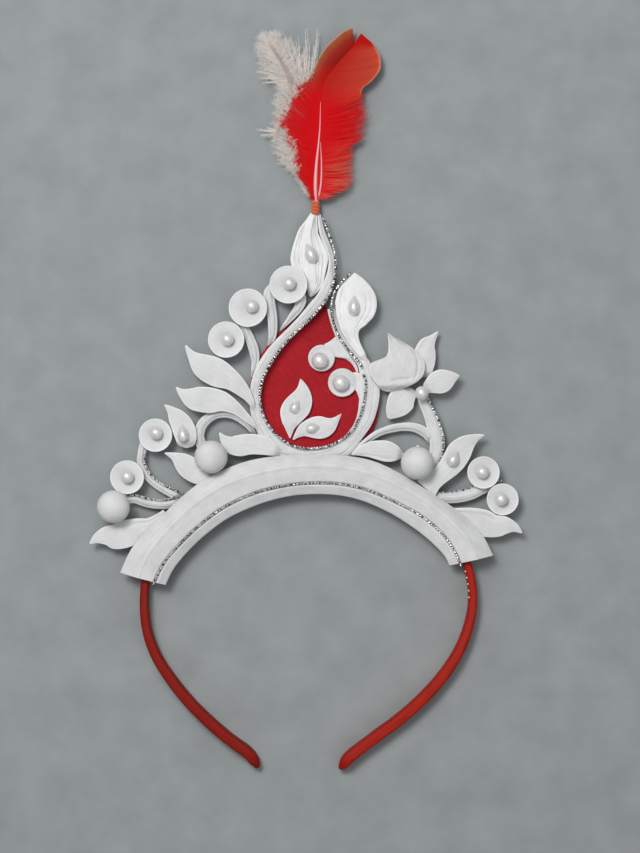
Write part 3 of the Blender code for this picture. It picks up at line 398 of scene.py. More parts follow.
# The two shafts at the front: x, y, radius
SHAFTS = (
    ((4.3, 78.8, 0.5), (4.0, 84.0, 0.7), (4.0, 88.8, 0.72), (4.4, 95.2, 0.58), (5.1, 102.0, 0.38),
     (5.7, 108.8, 0.24), (5.9, 114.4, 0.15), (6.0, 120.0, 0.06)),
    ((4.8, 80.0, 0.3), (5.7, 84.0, 0.36), (6.3, 88.8, 0.34), (6.4, 95.2, 0.26), (6.2, 100.0, 0.16),
     (6.0, 104.0, 0.06)),
)


class Form:
    """Closed skins in millimetres.

    Each point keeps its place in the grain (across, along, lot), and how thin the piece is there, which
    sets the pith's painted edge highlight.
    """

    def __init__(self):
        self.points = []
        self.faces = []
        self.grain = []
        self.thin = []

    def loft(self, rings, grains, thins=None):
        """Skin between closed rings of points, with a flat face on each end."""
        start = len(self.points)
        count = len(rings[0])
        for ring, grain in zip(rings, grains):
            self.points.extend(ring)
            self.grain.extend(grain)
        for thin in thins or [[0.0] * count] * len(rings):
            self.thin.extend(thin)
        for index in range(len(rings) - 1):
            here = start + index * count
            for k in range(count):
                after = (k + 1) % count
                self.faces.append((here + k, here + after, here + count + after, here + count + k))
        self.faces.append(tuple(start + k for k in reversed(range(count))))
        last = start + (len(rings) - 1) * count
        self.faces.append(tuple(last + k for k in range(count)))


def put(name, form, finish, nodes=(), sharp=50):
    """A form as a piece that rides on the crown and stands for the CAD nodes named."""
    mesh = bpy.data.meshes.new(name)
    mesh.from_pydata((np.array(form.points) * MM).tolist(), [], form.faces)
    grain = mesh.attributes.new("grain", "FLOAT_VECTOR", "POINT")
    grain.data.foreach_set("vector", np.array(form.grain, np.float32).ravel())
    thin = mesh.attributes.new("thin", "FLOAT", "POINT")
    thin.data.foreach_set("value", np.array(form.thin, np.float32))
    mesh.materials.append(finish)
    mesh.shade_smooth()
    mesh.set_sharp_from_angle(angle=radians(sharp))
    piece = bpy.data.objects.new(name, mesh)
    bpy.context.collection.objects.link(piece)
    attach(piece, "root")
    if nodes:
        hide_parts(*nodes)
    return piece


def from_edges(rows):
    """Rows of x, y, width from a table of y, left edge, right edge."""
    return [((left + right) / 2, y, right - left) for y, left, right in rows]


def smooth_rows(rows, spacing=0.8, steps=None):
    """Rows on a smooth curve through the table's rows: about spacing apart, or steps to a gap."""
    rows = np.array(rows, float)
    last = len(rows) - 1
    made = []
    for index in range(last):
        before = rows[max(index - 1, 0)]
        start = rows[index]
        end = rows[index + 1]
        after = rows[min(index + 2, last)]
        count = steps or max(2, int(np.linalg.norm(end[:2] - start[:2]) / spacing))
        for t in np.arange(count) / count:
            made.append(0.5 * (2 * start + (end - before) * t
                               + (2 * before - 5 * start + 4 * end - after) * t ** 2
                               + (3 * start - before - 3 * end + after) * t ** 3))
    made.append(rows[last])
    return np.array(made)


def ways_of(rows):
    """Unit vectors to the right of the rows, and the distance run so far."""
    way = np.gradient(rows[:, :2], axis=0)
    way /= np.linalg.norm(way, axis=1)[:, None]
    right = np.stack((way[:, 1], -way[:, 0]), axis=1)
    steps = np.linalg.norm(np.diff(rows[:, :2], axis=0), axis=1)
    return right, np.concatenate(([0.0], np.cumsum(steps)))


def fade(value, low, high):
    """From 0 at low to 1 at high, smoothly."""
    t = min(1.0, max(0.0, (value - low) / (high - low)))
    return t * t * (3 - 2 * t)


def wave(x, y, size, seed=0.0):
    """Smooth noise from -1 to 1 with features of about size."""
    return noise.noise(Vector((x / size, y / size, seed)))


class Relief:
    """The front of a strip or leaf: how far it lies below its top.

    u runs from -1 (left) to 1 (right), and v from 0 to 1 along the rows. Each groove is its u,
    its half width in u, its depth, and the v where it starts and ends. Each fold runs across: its v,
    its half width in v, its depth, and the u where it starts and ends. rim raises both edges.
    """

    def __init__(self, crown=0.4, edge=0.35, grooves=(), count=15, folds=(), rim=0.0):
        self.crown = crown
        self.edge = edge
        self.grooves = grooves
        self.count = count
        self.folds = folds
        self.rim = rim

    def drop(self, u, v):
        depth = self.crown * u * u - self.rim * exp(-((abs(u) - 0.9) / 0.1) ** 2)
        for place, width, deep, start, end in self.grooves:
            near = exp(-((u - place) / width) ** 2)
            if near > 0.01:
                depth += deep * near * fade(v, start, start + 0.08) * fade(1 - v, 1 - end, 1.08 - end)
        for place, width, deep, start, end in self.folds:
            near = exp(-((v - place - 0.04 * u) / width) ** 2)
            if near > 0.01:
                depth += deep * near * fade(u, start, start + 0.2) * fade(-u, -end, 0.2 - end)
        return max(0.0, depth)


def strip_section(half, low, top, relief, v):
    """Points of a section across a strip: offset and height, from the left round the front."""
    thick = top - low
    edge = min(relief.edge, 0.85 * half, 0.45 * thick)
    flat = half - edge
    most = thick - edge - 0.2
    size = min(1.0, half / 1.2)

    def front(u):
        return top - min(most, relief.drop(u, v) * size)

    made = [(-half + 0.12, low), (-half, low + 0.14)]
    for angle in (0, 30, 60):
        turn = radians(angle)
        made.append((-flat - edge * cos(turn), front(-1) - edge + edge * sin(turn)))
    for k in range(relief.count):
        u = -1 + 2 * k / (relief.count - 1)
        made.append((u * flat, front(u)))
    for angle in (60, 30, 0):
        turn = radians(angle)
        made.append((flat + edge * cos(turn), front(1) - edge + edge * sin(turn)))
    made += [(half, low + 0.14), (half - 0.12, low)]
    return made


def add_strip(form, rows, low, high, relief, lift=0.0, spacing=0.7, right=None, rough=1.0, sink=3.0):
    """A strip, stem or leaf from its rows of x, y, width.

    lift raises its first end. Its last end rounds off and sinks within the distance sink.
    """
    fine = smooth_rows(rows, spacing)
    rights, run = ways_of(fine)
    widest = fine[:, 2].max()
    rings = []
    grains = []
    thins = []
    lot = rows[0][0] * 0.37 + rows[0][1]
    for index, (x, y, width) in enumerate(fine):
        side = rights[index] if right is None else np.array(right)
        left = run[-1] - run[index]
        share = 0.55 + 0.45 * min(1.0, width / (0.6 * widest))
        if left < sink:
            share *= 0.4 + 0.6 * fade(left, 0.0, sink)
            width *= sqrt(1 - (1 - min(1.0, (left + 0.06) / (0.4 * sink))) ** 2)
        half = max(width, 0.3) / 2
        v = run[index] / run[-1]
        rise = lift * (1 - fade(v, 0.0, 0.5))
        if left < sink:
            rise -= 0.8 * (1 - fade(left, 0.0, sink))
        section = strip_section(half, low, low + (high - low) * share, relief, v)
        trim = 0.10 * rough * wave(run[index], lot, 3.5)
        ring = []
        grain = []
        for offset, height in section:
            reach = offset + trim * offset / half
            px = x + side[0] * reach
            py = y + side[1] * reach
            if height > low + 0.2:
                height += 0.05 * rough * wave(px, py, 1.9, lot)
            ring.append((px, py, height + rise))
            grain.append((offset, run[index], lot))
        rings.append(ring)
        grains.append(grain)
        thins.append([fade(abs(offset), half - 0.75, half - 0.1) for offset, height in section])
    form.loft(rings, grains, thins=thins)


def add_turned(form, x, y, rows, sides=56, rough=0.0, thin_from=None):
    """A round skin on an upright axis, from rows of radius and height."""
    rings = []
    grains = []
    thins = []
    lot = x + 0.37 * y
    for radius, z in rows:
        ring = []
        grain = []
        for k in range(sides):
            turn = 2 * pi * k / sides
            reach = radius * (1 + rough * wave(2.2 * cos(turn), 2.2 * sin(turn), 1.0, lot))
            ring.append((x + reach * cos(turn), y + reach * sin(turn), z))
            grain.append((radius * sin(turn), radius * cos(turn), lot))
        rings.append(ring)
        grains.append(grain)
        thins.append([fade(radius, thin_from, thin_from + 0.5) if thin_from else 0.0] * sides)
    form.loft(rings, grains, thins=thins)


def add_twist(form, route, radius):
    """A cord of two strands that wind round each other. The route's rows are x, y, z."""
    pitch = 2.3
    sides = 7
    fine = smooth_rows(route, 0.2)
    right, run = ways_of(fine)
    for phase in (0.0, pi):
        rings = []
        grains = []
        for (x, y, z), side, along in zip(fine, right, run):
            turn = 2 * pi * along / pitch + phase
            strand = radius * (0.56 + 0.08 * wave(along, phase, 0.7))
            out = (radius - strand) * (1 + 0.25 * wave(along, phase + 5.0, 0.9))
            ahead = out * cos(turn)
            up = out * sin(turn)
            ring = []
            for k in range(sides):
                angle = 2 * pi * k / sides
                reach = ahead + strand * cos(angle)
                ring.append((x + side[0] * reach, y + side[1] * reach, z + up + strand * sin(angle)))
            rings.append(ring)
            grains.append([(k / sides, along, phase) for k in range(sides)])
        form.loft(rings, grains)


def add_spike(form, points, widths, lot, flat=0.5):
    """A thin three-sided strand through points that tapers by widths."""
    rings = []
    grains = []
    last = len(points) - 1
    for index, (point, width) in enumerate(zip(points, widths)):
        before = points[max(index - 1, 0)]
        after = points[min(index + 1, last)]
        dx = after[0] - before[0]
        dy = after[1] - before[1]
        length = sqrt(dx * dx + dy * dy) or 1.0
        side = (dy / length * width / 2, -dx / length * width / 2)
        x, y, z = point
        rings.append([(x - side[0], y - side[1], z), (x + side[0], y + side[1], z),
                      (x, y, z + width * flat)])
        grains.append([(index / last, y, lot)] * 3)
    form.loft(rings, grains)


class Finish:
    """A Principled material whose nodes are added one by one."""

    def __init__(self, name, **constants):
        self.material = bpy.data.materials.new(name)
        self.material.use_nodes = True
        self.tree = self.material.node_tree
        self.shader = self.tree.nodes["Principled BSDF"]
        for key, value in constants.items():
            self.shader.inputs[key.replace("_", " ")].default_value = value

    def node(self, kind, inputs=None, **settings):
        made = self.tree.nodes.new("ShaderNode" + kind)
        for key, value in settings.items():
            setattr(made, key, value)
        for key, value in (inputs or {}).items():
            if isinstance(value, bpy.types.NodeSocket):
                self.tree.links.new(value, made.inputs[key])
            else:
                made.inputs[key].default_value = value
        return made

    def link(self, output, socket):
        self.tree.links.new(output, self.shader.inputs[socket])

    def place(self):
        """Object coordinates, in metres."""
        return self.node("TexCoord").outputs["Object"]

    def grain(self):
        """The across, along and lot of the piece's own grain, in millimetres."""
        return self.node("Attribute", attribute_name="grain").outputs["Vector"]

    def stretched(self, vector, scale):
        return self.node("Mapping", {"Vector": vector, "Scale": scale}).outputs["Vector"]

    def noise(self, vector, scale, detail=3.0, rough=0.55):
        made = self.node("TexNoise", {"Vector": vector, "Scale": scale, "Detail": detail,
                                      "Roughness": rough})
        return made.outputs["Fac"]

    def ramp(self, value, *stops):
        """A colour ramp from (place, colour) stops."""
        made = self.node("ValToRGB", {"Fac": value})
        bar = made.color_ramp.elements
        bar[0].position, bar[0].color = stops[0]
        bar[1].position, bar[1].color = stops[-1]
        for place, colour in stops[1:-1]:
            bar.new(place).color = colour
        return made.outputs["Color"]

    def range(self, value, low, high, to_low, to_high):
        """The value with low to high spread over to_low to to_high."""
        made = self.node("MapRange", {"Value": value, "From Min": low, "From Max": high,
                                      "To Min": to_low, "To Max": to_high})
        return made.outputs["Result"]

    def mix(self, share, first, second, how="MIX"):
        made = self.node("Mix", data_type="RGBA", blend_type=how)
        for socket, value in ((0, share), (6, first), (7, second)):
            if isinstance(value, bpy.types.NodeSocket):
                self.tree.links.new(value, made.inputs[socket])
            else:
                made.inputs[socket].default_value = value
        return made.outputs[2]

    def bump(self, *layers):
        """Bump from layers of height, strength and depth in metres."""
        normal = None
        for height, strength, depth in layers:
            inputs = {"Height": height, "Strength": strength, "Distance": depth}
            if normal:
                inputs["Normal"] = normal
            normal = self.node("Bump", inputs).outputs["Normal"]
        self.link(normal, "Normal")


def grey(value, warm=0.0):
    """A nearly neutral colour, warmer above 0 and cooler below it."""
    return (value * (1 + warm), value, value * (1 - warm), 1.0)


def pith_finish(name, fibre=1.0, glitter=False, shade=1.0, dish_shade=False):
    """Soft white pith: fine cells, fibres along the grain, faint blotches, and a painted highlight that
    makes thin edges paler.

    dish_shade paints shade towards the middle of a turned piece, round its pearl.
    """
    made = Finish(name, Subsurface_Weight=0.25, Subsurface_Scale=0.0012, Specular_IOR_Level=0.3)
    made.shader.inputs["Subsurface Radius"].default_value = (1.0, 0.85, 0.75)
    place = made.place()
    cells = made.noise(place, 5200.0, 2.0)
    blotch = made.noise(place, 160.0, 4.0)
    fibres = made.noise(made.stretched(made.grain(), (2.6, 0.16, 1.0)), 1.0, 5.0, 0.62)
    tone = made.ramp(blotch, (0.30, grey(0.64 * shade, 0.010)), (0.62, grey(0.73 * shade, 0.002)))
    tone = made.mix(made.range(fibres, 0.34, 0.54, 0.4 * fibre, 0.0), tone, grey(0.42 * shade, 0.03))
    if dish_shade:
        parts = made.node("SeparateXYZ", {"Vector": made.grain()})
        flat = made.node("CombineXYZ", {"X": parts.outputs["X"],
                                        "Y": parts.outputs["Y"]}).outputs["Vector"]
        radius = made.node("VectorMath", {0: flat}, operation="LENGTH").outputs["Value"]
        # Painted shade: the disc turns greyer towards its middle, where the pearl shades the dish.
        tone = made.mix(made.range(radius, 2.0, 6.2, 0.7, 0.0), tone, grey(0.56))
    # Painted highlight: the pith is made paler towards its thin edges, for light that shines through them.
    thin = made.node("Attribute", attribute_name="thin").outputs["Fac"]
    tone = made.mix(made.range(thin, 0.0, 1.0, 0.0, 0.75), tone, grey(0.86, -0.005))
    made.link(tone, "Base Color")
    made.link(made.range(blotch, 0.3, 0.7, 0.62, 0.82), "Roughness")
    layers = [(cells, 0.25, 0.00006), (fibres, 0.55 * fibre, 0.0002)]
    if glitter:
        flakes = made.node("TexVoronoi", {"Vector": place, "Scale": 3300.0})
        bright = made.range(flakes.outputs["Color"], 0.90, 0.93, 0.0, 1.0)
        made.link(bright, "Metallic")
        layers.append((flakes.outputs["Color"], 0.5, 0.0001))
    made.bump(*layers)
    return made.material


def felt_finish():
    """Red felt: matted fibres."""
    made = Finish("felt", Roughness=0.95, Sheen_Weight=0.35, Sheen_Roughness=0.6,
                  Specular_IOR_Level=0.15)
    made.shader.inputs["Sheen Tint"].default_value = (1.0, 0.25, 0.25, 1.0)
    place = made.place()
    matted = made.noise(place, 900.0, 6.0, 0.7)
    broad = made.noise(place, 110.0, 3.0)
    red = made.ramp(matted, (0.3, (0.30, 0.008, 0.014, 1.0)), (0.7, (0.46, 0.018, 0.026, 1.0)))
    red = made.mix(made.range(broad, 0.35, 0.65, 0.0, 0.3), red, (0.26, 0.006, 0.012, 1.0))
    made.link(red, "Base Color")
    made.bump((matted, 0.6, 0.00025), (made.noise(place, 2600.0, 3.0), 0.4, 0.0001))
    return made.material


def satin_finish():
    """Red ribbon that is drawn over the band: a fine slanting weave, a soft gloss and painted shade on its
    left arm.
    """
    made = Finish("satin", Specular_IOR_Level=0.16)
    grain = made.grain()
    slant = made.node("Mapping", {"Vector": grain, "Rotation": (0.0, 0.0, radians(38))}).outputs["Vector"]
    weave = made.node("TexWave", {"Vector": slant, "Scale": 2.4, "Distortion": 0.6,
                                  "Detail": 1.0}).outputs["Fac"]
    folds = made.noise(made.stretched(grain, (0.5, 0.12, 1.0)), 1.0, 3.0)
    red = made.ramp(folds, (0.3, (0.30, 0.006, 0.001, 1.0)), (0.7, (0.43, 0.014, 0.002, 1.0)))
    red = made.mix(made.range(weave, 0.0, 1.0, 0.2, 0.0), red, (0.14, 0.003, 0.002, 1.0))
    # Painted shade: the ribbon is darkened to a deeper red on the left arm, where x is below 0.
    parts = made.node("SeparateXYZ", {"Vector": made.place()})
    left = made.range(parts.outputs["X"], -0.02, 0.02, 0.65, 0.0)
    red = made.mix(left, red, (0.16, 0.004, 0.001, 1.0))
    made.link(red, "Base Color")
    made.link(made.range(folds, 0.3, 0.7, 0.42, 0.58), "Roughness")
    made.bump((folds, 0.4, 0.0004), (weave, 0.35, 0.00005))
    return made.material


def pearl_finish():
    """Imitation pearl: a pale grey body under a soft glossy coat."""
    made = Finish("pearl", Roughness=0.5, Metallic=0.12, Coat_Weight=1.0, Coat_Roughness=0.36,
                  Coat_IOR=2.6, Subsurface_Weight=0.2, Subsurface_Scale=0.001, Specular_IOR_Level=0.6)
    cloud = made.noise(made.place(), 420.0, 3.0)
    body = made.ramp(cloud, (0.3, (0.66, 0.66, 0.63, 1.0)), (0.7, (0.74, 0.74, 0.71, 1.0)))
    made.link(body, "Base Color")
    made.bump((cloud, 0.08, 0.0001))
    return made.material


def silver_finish():
    """Metallised thread: bright turns of foil, with near-black specks painted in as dark reflections and
    shade between the turns.
    """
    made = Finish("silver", Metallic=0.8)
    specks = made.noise(made.stretched(made.grain(), (0.6, 1.25, 1.0)), 1.0, 1.0)
    # Painted reflection and shade: the grey(0.06) specks stand for dark surroundings seen in the foil and
    # shade between its turns.
    tone = made.ramp(specks, (0.42, grey(0.06)), (0.50, grey(0.5)), (0.56, grey(1.0)))
    made.link(tone, "Base Color")
    made.link(made.range(specks, 0.4, 0.6, 0.45, 0.22), "Roughness")
    made.bump((specks, 0.8, 0.00014))
    return made.material


def thread_finish(name, dark, light):
    """Twisted thread: a diagonal ply pattern in two tones, whose light tone is a painted highlight and
    whose dark tone is painted shade between the plies.
    """
    made = Finish(name, Roughness=0.55, Sheen_Weight=0.3)
    ply = made.node("TexWave", {"Vector": made.grain(), "Scale": 1.4, "Distortion": 0.8},
                    bands_direction="DIAGONAL").outputs["Fac"]
    # Painted light: the light tone is a highlight on each ply and the dark tone the shade between them.
    made.link(made.ramp(ply, (0.2, dark), (0.7, light)), "Base Color")
    made.bump((ply, 0.5, 0.0001))
    return made.material


def red_feather_finish():
    """Bright red below and duller in the closed vane. Grain: x from root to tip, y height, z side."""
    made = Finish("red_vane", Roughness=0.75, Sheen_Weight=0.05, Specular_IOR_Level=0.1)
    parts = made.node("SeparateXYZ", {"Vector": made.grain()})
    lot = made.noise(made.stretched(made.grain(), (0.4, 0.0, 9.0)), 1.0, 2.0)
    low = made.ramp(parts.outputs["X"], (0.40, (0.60, 0.001, 0.004, 1.0)),
                    (1.0, (0.66, 0.014, 0.014, 1.0)))
    pale = made.mix(parts.outputs["X"], (0.60, 0.010, 0.012, 1.0), (0.86, 0.20, 0.13, 1.0))
    right = made.range(parts.outputs["Z"], -0.1, 0.1, 0.0, 1.0)
    tail = made.range(parts.outputs["Y"], 92.0, 106.0, 0.75, 0.0)
    streak = made.range(lot, 0.42, 0.56, 0.0, 1.0)
    share = made.node("Math", {0: right, 1: streak}, operation="MULTIPLY").outputs["Value"]
    share = made.node("Math", {0: share, 1: tail}, operation="MULTIPLY").outputs["Value"]
    low = made.mix(share, low, pale)
    left_vane = made.ramp(parts.outputs["X"], (0.1, (0.25, 0.004, 0.002, 1.0)),
                          (0.5, (0.29, 0.018, 0.008, 1.0)), (0.85, (0.30, 0.075, 0.032, 1.0)),
                          (0.95, (0.31, 0.10, 0.042, 1.0)), (1.0, (0.66, 0.36, 0.22, 1.0)))
    right_vane = made.ramp(parts.outputs["X"], (0.1, (0.44, 0.012, 0.008, 1.0)),
                           (0.8, (0.48, 0.045, 0.024, 1.0)), (0.95, (0.50, 0.060, 0.030, 1.0)),
                           (1.0, (0.64, 0.22, 0.13, 1.0)))
    tip = made.range(parts.outputs["Y"], 140.5, 143.5, 0.0, 1.0)
    right_vane = made.mix(tip, right_vane, (0.44, 0.002, 0.001, 1.0))
    right_vane = made.mix(made.range(parts.outputs["Y"], 117.0, 128.0, 0.0, 1.0), low, right_vane)
    left_vane = made.mix(made.range(parts.outputs["Y"], 122.0, 136.0, 0.0, 1.0), low, left_vane)
    vane = made.mix(right, left_vane, right_vane)
    vane = made.mix(made.range(lot, 0.35, 0.65, 0.0, 0.2), vane, (0.20, 0.003, 0.002, 1.0))
    made.link(vane, "Base Color")
    return made.material


def white_feather_finish():
    """Warm white down, pinker near its roots."""
    made = Finish("white_down", Roughness=0.85, Specular_IOR_Level=0.2, Subsurface_Weight=0.2,
                  Subsurface_Scale=0.0005)
    parts = made.node("SeparateXYZ", {"Vector": made.grain()})
    made.link(made.ramp(parts.outputs["X"], (0.0, (0.66, 0.46, 0.40, 1.0)), (0.5, (0.80, 0.74, 0.68, 1.0))),
              "Base Color")
    return made.material


def plain_finish(name, colour, rough, size, depth):
    """One colour with a fine broken surface."""
    made = Finish(name, Roughness=rough)
    fine = made.noise(made.place(), size, 3.0)
    darker = tuple(0.85 * part for part in colour[:3]) + (1.0,)
    made.link(made.ramp(fine, (0.3, darker), (0.7, colour)), "Base Color")
    made.bump((fine, 0.3, depth))
    return made.material


PITH = pith_finish("pith", fibre=0.55, shade=0.96)
PITH_FRAME = pith_finish("pith_frame", fibre=1.0)
PITH_SMOOTH = pith_finish("pith_smooth", fibre=0.2, shade=0.96)
PITH_DISC = pith_finish("pith_disc", fibre=0.2, dish_shade=True)
# Painted light: the top and side leaves get a brighter copy of the pith (shade 1.15), for the light that
# falls brighter on the top of the crown.
PITH_GLITTER = pith_finish("pith_glitter", fibre=0.45, glitter=True, shade=1.15)
FELT = felt_finish()
SATIN = satin_finish()
PEARL = pearl_finish()
SILVER = silver_finish()
# The thread's dark and light tones are painted shade and a painted highlight on one orange-red.
THREAD = thread_finish("thread", (0.42, 0.02, 0.006, 1.0), (0.82, 0.17, 0.055, 1.0))
STITCH = plain_finish("stitch", (0.80, 0.76, 0.72, 1.0), 0.8, 4000.0, 0.00005)
RED_VANE = red_feather_finish()
WHITE_DOWN = white_feather_finish()
QUILL = plain_finish("quill", (0.84, 0.40, 0.42, 1.0), 0.4, 1500.0, 0.00003)

# Reliefs of the strips and leaves
STEM = Relief(crown=0.9, edge=0.9, grooves=((0.35, 0.10, 0.25, 0.05, 0.95), (-0.3, 0.07, 0.14, 0.2, 0.8)),
              count=19)
FRAME = Relief(crown=0.55, edge=0.8, grooves=((0.40, 0.08, 0.4, 0.0, 1.0), (-0.12, 0.06, 0.22, 0.1, 0.8),
                                              (-0.55, 0.07, 0.22, 0.3, 0.9)), count=27)
LEAF = Relief(crown=0.42, edge=0.28, rim=0.10, count=21)
RELIEFS = {
    "top_leaf": Relief(0.6, 0.4, ((0.80, 0.045, 0.9, 0.1, 0.85), (0.58, 0.045, 0.8, 0.16, 0.8),
                                  (0.36, 0.04, 0.5, 0.3, 0.7), (-0.34, 0.045, 0.9, 0.0, 0.9),
                                  (-0.56, 0.045, 0.9, 0.0, 0.95), (-0.78, 0.045, 0.8, 0.0, 1.0)), 49),
    "side_leaf": Relief(0.4, 0.4, ((0.76, 0.045, 0.45, 0.12, 0.8), (0.56, 0.045, 0.35, 0.16, 0.9),
                                   (-0.56, 0.045, 0.5, 0.2, 0.85), (-0.80, 0.045, 0.35, 0.15, 0.7)), 45,
                        rim=0.1),
    "leaf_left_6": Relief(0.4, 0.28, ((-0.62, 0.10, 0.5, 0.4, 1.0),), 23, rim=0.1),
    "leaf_right_3": Relief(0.4, 0.28, ((0.62, 0.10, 0.5, 0.35, 1.0),), 23, rim=0.1),
    "leaf_right_1": Relief(0.4, 0.28, ((0.75, 0.08, 0.35, 0.1, 0.8),), 23, rim=0.1),
    "petal_2": Relief(0.6, 0.3, ((0.55, 0.10, 0.4, 0.2, 1.0),), 23, rim=0.1),
}
# The big petal has faint upright strands, a curled right edge and a fold above its lower lip
PETAL_RELIEF = Relief(1.5, 0.45, ((-0.78, 0.05, 0.55, 0.35, 0.85), (-0.5, 0.03, 0.08, 0.2, 0.8),
                                  (-0.3, 0.03, 0.10, 0.2, 0.8), (-0.1, 0.03, 0.08, 0.2, 0.8),
                                  (0.1, 0.03, 0.10, 0.2, 0.8), (0.32, 0.03, 0.08, 0.2, 0.8),
                                  (0.5, 0.04, 0.16, 0.3, 0.9)), 61,
                      ((0.80, 0.025, 0.8, -0.75, 0.35), (0.90, 0.02, 0.4, -0.3, 0.6)))
LIFTS = {"leaf_left_1": 0.8, "leaf_left_2": 0.5, "leaf_left_4": 0.6, "leaf_left_6": 0.3,
         "leaf_right_2": 0.7, "leaf_right_3": 0.4, "petal_3": 0.5}
# Leaves whose inner end runs under the base strip
UNDER_BASE = ("leaf_left_5", "leaf_left_6", "leaf_right_2", "leaf_right_3")


def make_stems():
    """The strips round the felt and the curved stems."""
    frames = ("drop_frame_left", "drop_frame_right")
    single = ("disc_stem_1", "disc_stem_2", "disc_stem_3", "left_arch", "right_stem")
    for name in frames + single:
        form = Form()
        if name in frames:
            add_strip(form, STEMS[name], STEM_LOW, STEM_HIGH, FRAME, sink=0.0)
        else:
            add_strip(form, STEMS[name], STEM_LOW, STEM_HIGH, STEM)
        put("carved_" + name, form, PITH_FRAME if name in frames else PITH, (name,))
    for name, keys in (("left_stems", ("left_stem_upper", "left_stem_lower")),
                       ("right_branch", ("flower_stem", "right_arch"))):
        form = Form()
        for index, key in enumerate(keys):
            add_strip(form, STEMS[key], STEM_LOW, STEM_HIGH - 0.2 * index, STEM)
        put("carved_" + name, form, PITH, (name,))


def make_leaves():
    """Leaves and petals."""
    for name, (low, high, rows) in LEAVES.items():
        form = Form()
        add_strip(form, rows, low, high, RELIEFS.get(name, LEAF), lift=LIFTS.get(name, 0.0),
                  sink=0.0 if name in UNDER_BASE else 3.0)
        finish = PITH_GLITTER if name in ("side_leaf", "top_leaf") else PITH
        put("carved_" + name, form, finish, (name,))
    for name, low, high, edges, relief, way, sink in (
            ("petal_1", LEAF_LOW, PETAL_HIGH, PETAL_ROWS, PETAL_RELIEF, (-1.0, 0.0), 3.0),
            ("felt_leaf_1", STEM_LOW, FELT_LEAF_HIGH, FELT_LEAF_ROWS, LEAF, (1.0, 0.0), 0.8)):
        form = Form()
        add_strip(form, from_edges(edges), low, high, relief, spacing=0.5, right=way, rough=0.6,
                  sink=sink)
        put("carved_" + name, form, PITH, (name,))


def drop_form(x, y, angle, width, length, low):
    """A drop pearl: a dome whose outline narrows to a point."""
    form = Form()
    way = (cos(radians(angle)), sin(radians(angle)))
    side = (way[1], -way[0])
    outline = np.array(DROP_OUTLINE)
    shares = np.linspace(-0.5, 0.5, 41)
    wides = np.interp(shares, outline[:, 0], outline[:, 1])
    wides = np.convolve(np.pad(wides, 2, "edge"), np.ones(5) / 5, "valid")
    wides *= np.clip(np.sqrt(np.clip((shares + 0.505) / 0.12, 0, 1)), 0.05, 1)
    rings = []
    grains = []
    for along, wide in zip(shares, wides):
        half = width / 2 * wide
        high = width * 0.72 * wide ** 0.8
        ring = []
        for k in range(25):
            turn = pi * k / 24
            across = -cos(turn) * half
            ring.append((x + way[0] * length * along + side[0] * across,
                         y + way[1] * length * along + side[1] * across, low + high * sin(turn)))
        rings.append(ring)
        grains.append([(0.0, along, x)] * 25)
    form.loft(rings, grains)
    return form


def dome_rows(radius, low, start=-38, steps=14):
    """Rows of a bead with a flat back on low."""
    centre = low - radius * sin(radians(start))
    angles = [start + (89 - start) * k / steps for k in range(steps + 1)]
    return [(radius * cos(radians(a)), centre + radius * sin(radians(a))) for a in angles]


def put_bead(name, x, y, radius, low, nodes=()):
    """A round pearl with its back on low."""
    form = Form()
    add_turned(form, x, y, dome_rows(radius, low), 40)
    put(name, form, PEARL, nodes)


def make_pearls():
    """Round beads, drops, and the beads on the felt."""
    for number, (x, y, radius, pearl_x, pearl_y) in enumerate(DISCS, 1):
        put_bead(f"bead_pearl_{number}", pearl_x, pearl_y, PEARL_RADIUS, DISC_DISH + 2 * GAP,
                 (f"pearl_{number}",))
    put_bead("bead_flower", *FLOWER_PEARL, ("flower_pearl",))
    for name, values in DROP_PEARLS.items():
        put("bead_" + name, drop_form(*values), PEARL, (name,))
    for name, (x, y, angle, width, length) in FELT_PEARLS.items():
        form = drop_form(x, y, angle, width, length, FELT_LEAF_HIGH - PEARL_SINK)
        put("bead_" + name, form, PEARL)
    for name, (x, y, radius, pearl_x, pearl_y, pearl) in SCROLLS.items():
        put_bead("bead_" + name, pearl_x, pearl_y, pearl, SCROLL_HIGH - PEARL_SINK)


def make_discs_and_balls():
    """Dished discs, and pith balls with a small foot."""
    for number, (x, y, radius, pearl_x, pearl_y) in enumerate(DISCS, 1):
        form = Form()
        rows = [(radius * share, z) for share, z in DISC_TURNING]
        # The disc's outer 0.75 mm of radius gets the pith's painted edge highlight.
        add_turned(form, x, y, rows, 72, 0.008, radius - 0.75)
        put(f"carved_disc_{number}", form, PITH_DISC, (f"disc_{number}",))
    for number, (x, y) in enumerate(BALLS, 1):
        form = Form()
        rows = [(BALL_FOOT, LEAF_LOW)]
        for k in range(24):
            angle = radians(-62 + 151.5 * k / 23)
            rows.append((BALL_RADIUS * cos(angle), BALL_Z + BALL_RADIUS * sin(angle)))
        add_turned(form, x, y, rows, 64, 0.006)
        if number == NUB_BALL:
            nub = [(x + 0.2, y + BALL_RADIUS + reach, BALL_Z) for reach in (-0.8, -0.2, 0.3, 0.6)]
            tube_rows(form, nub, (1.3, 0.9, 0.7, 0.3))
        put(f"carved_ball_{number}", form, PITH_SMOOTH, (f"ball_{number}",))


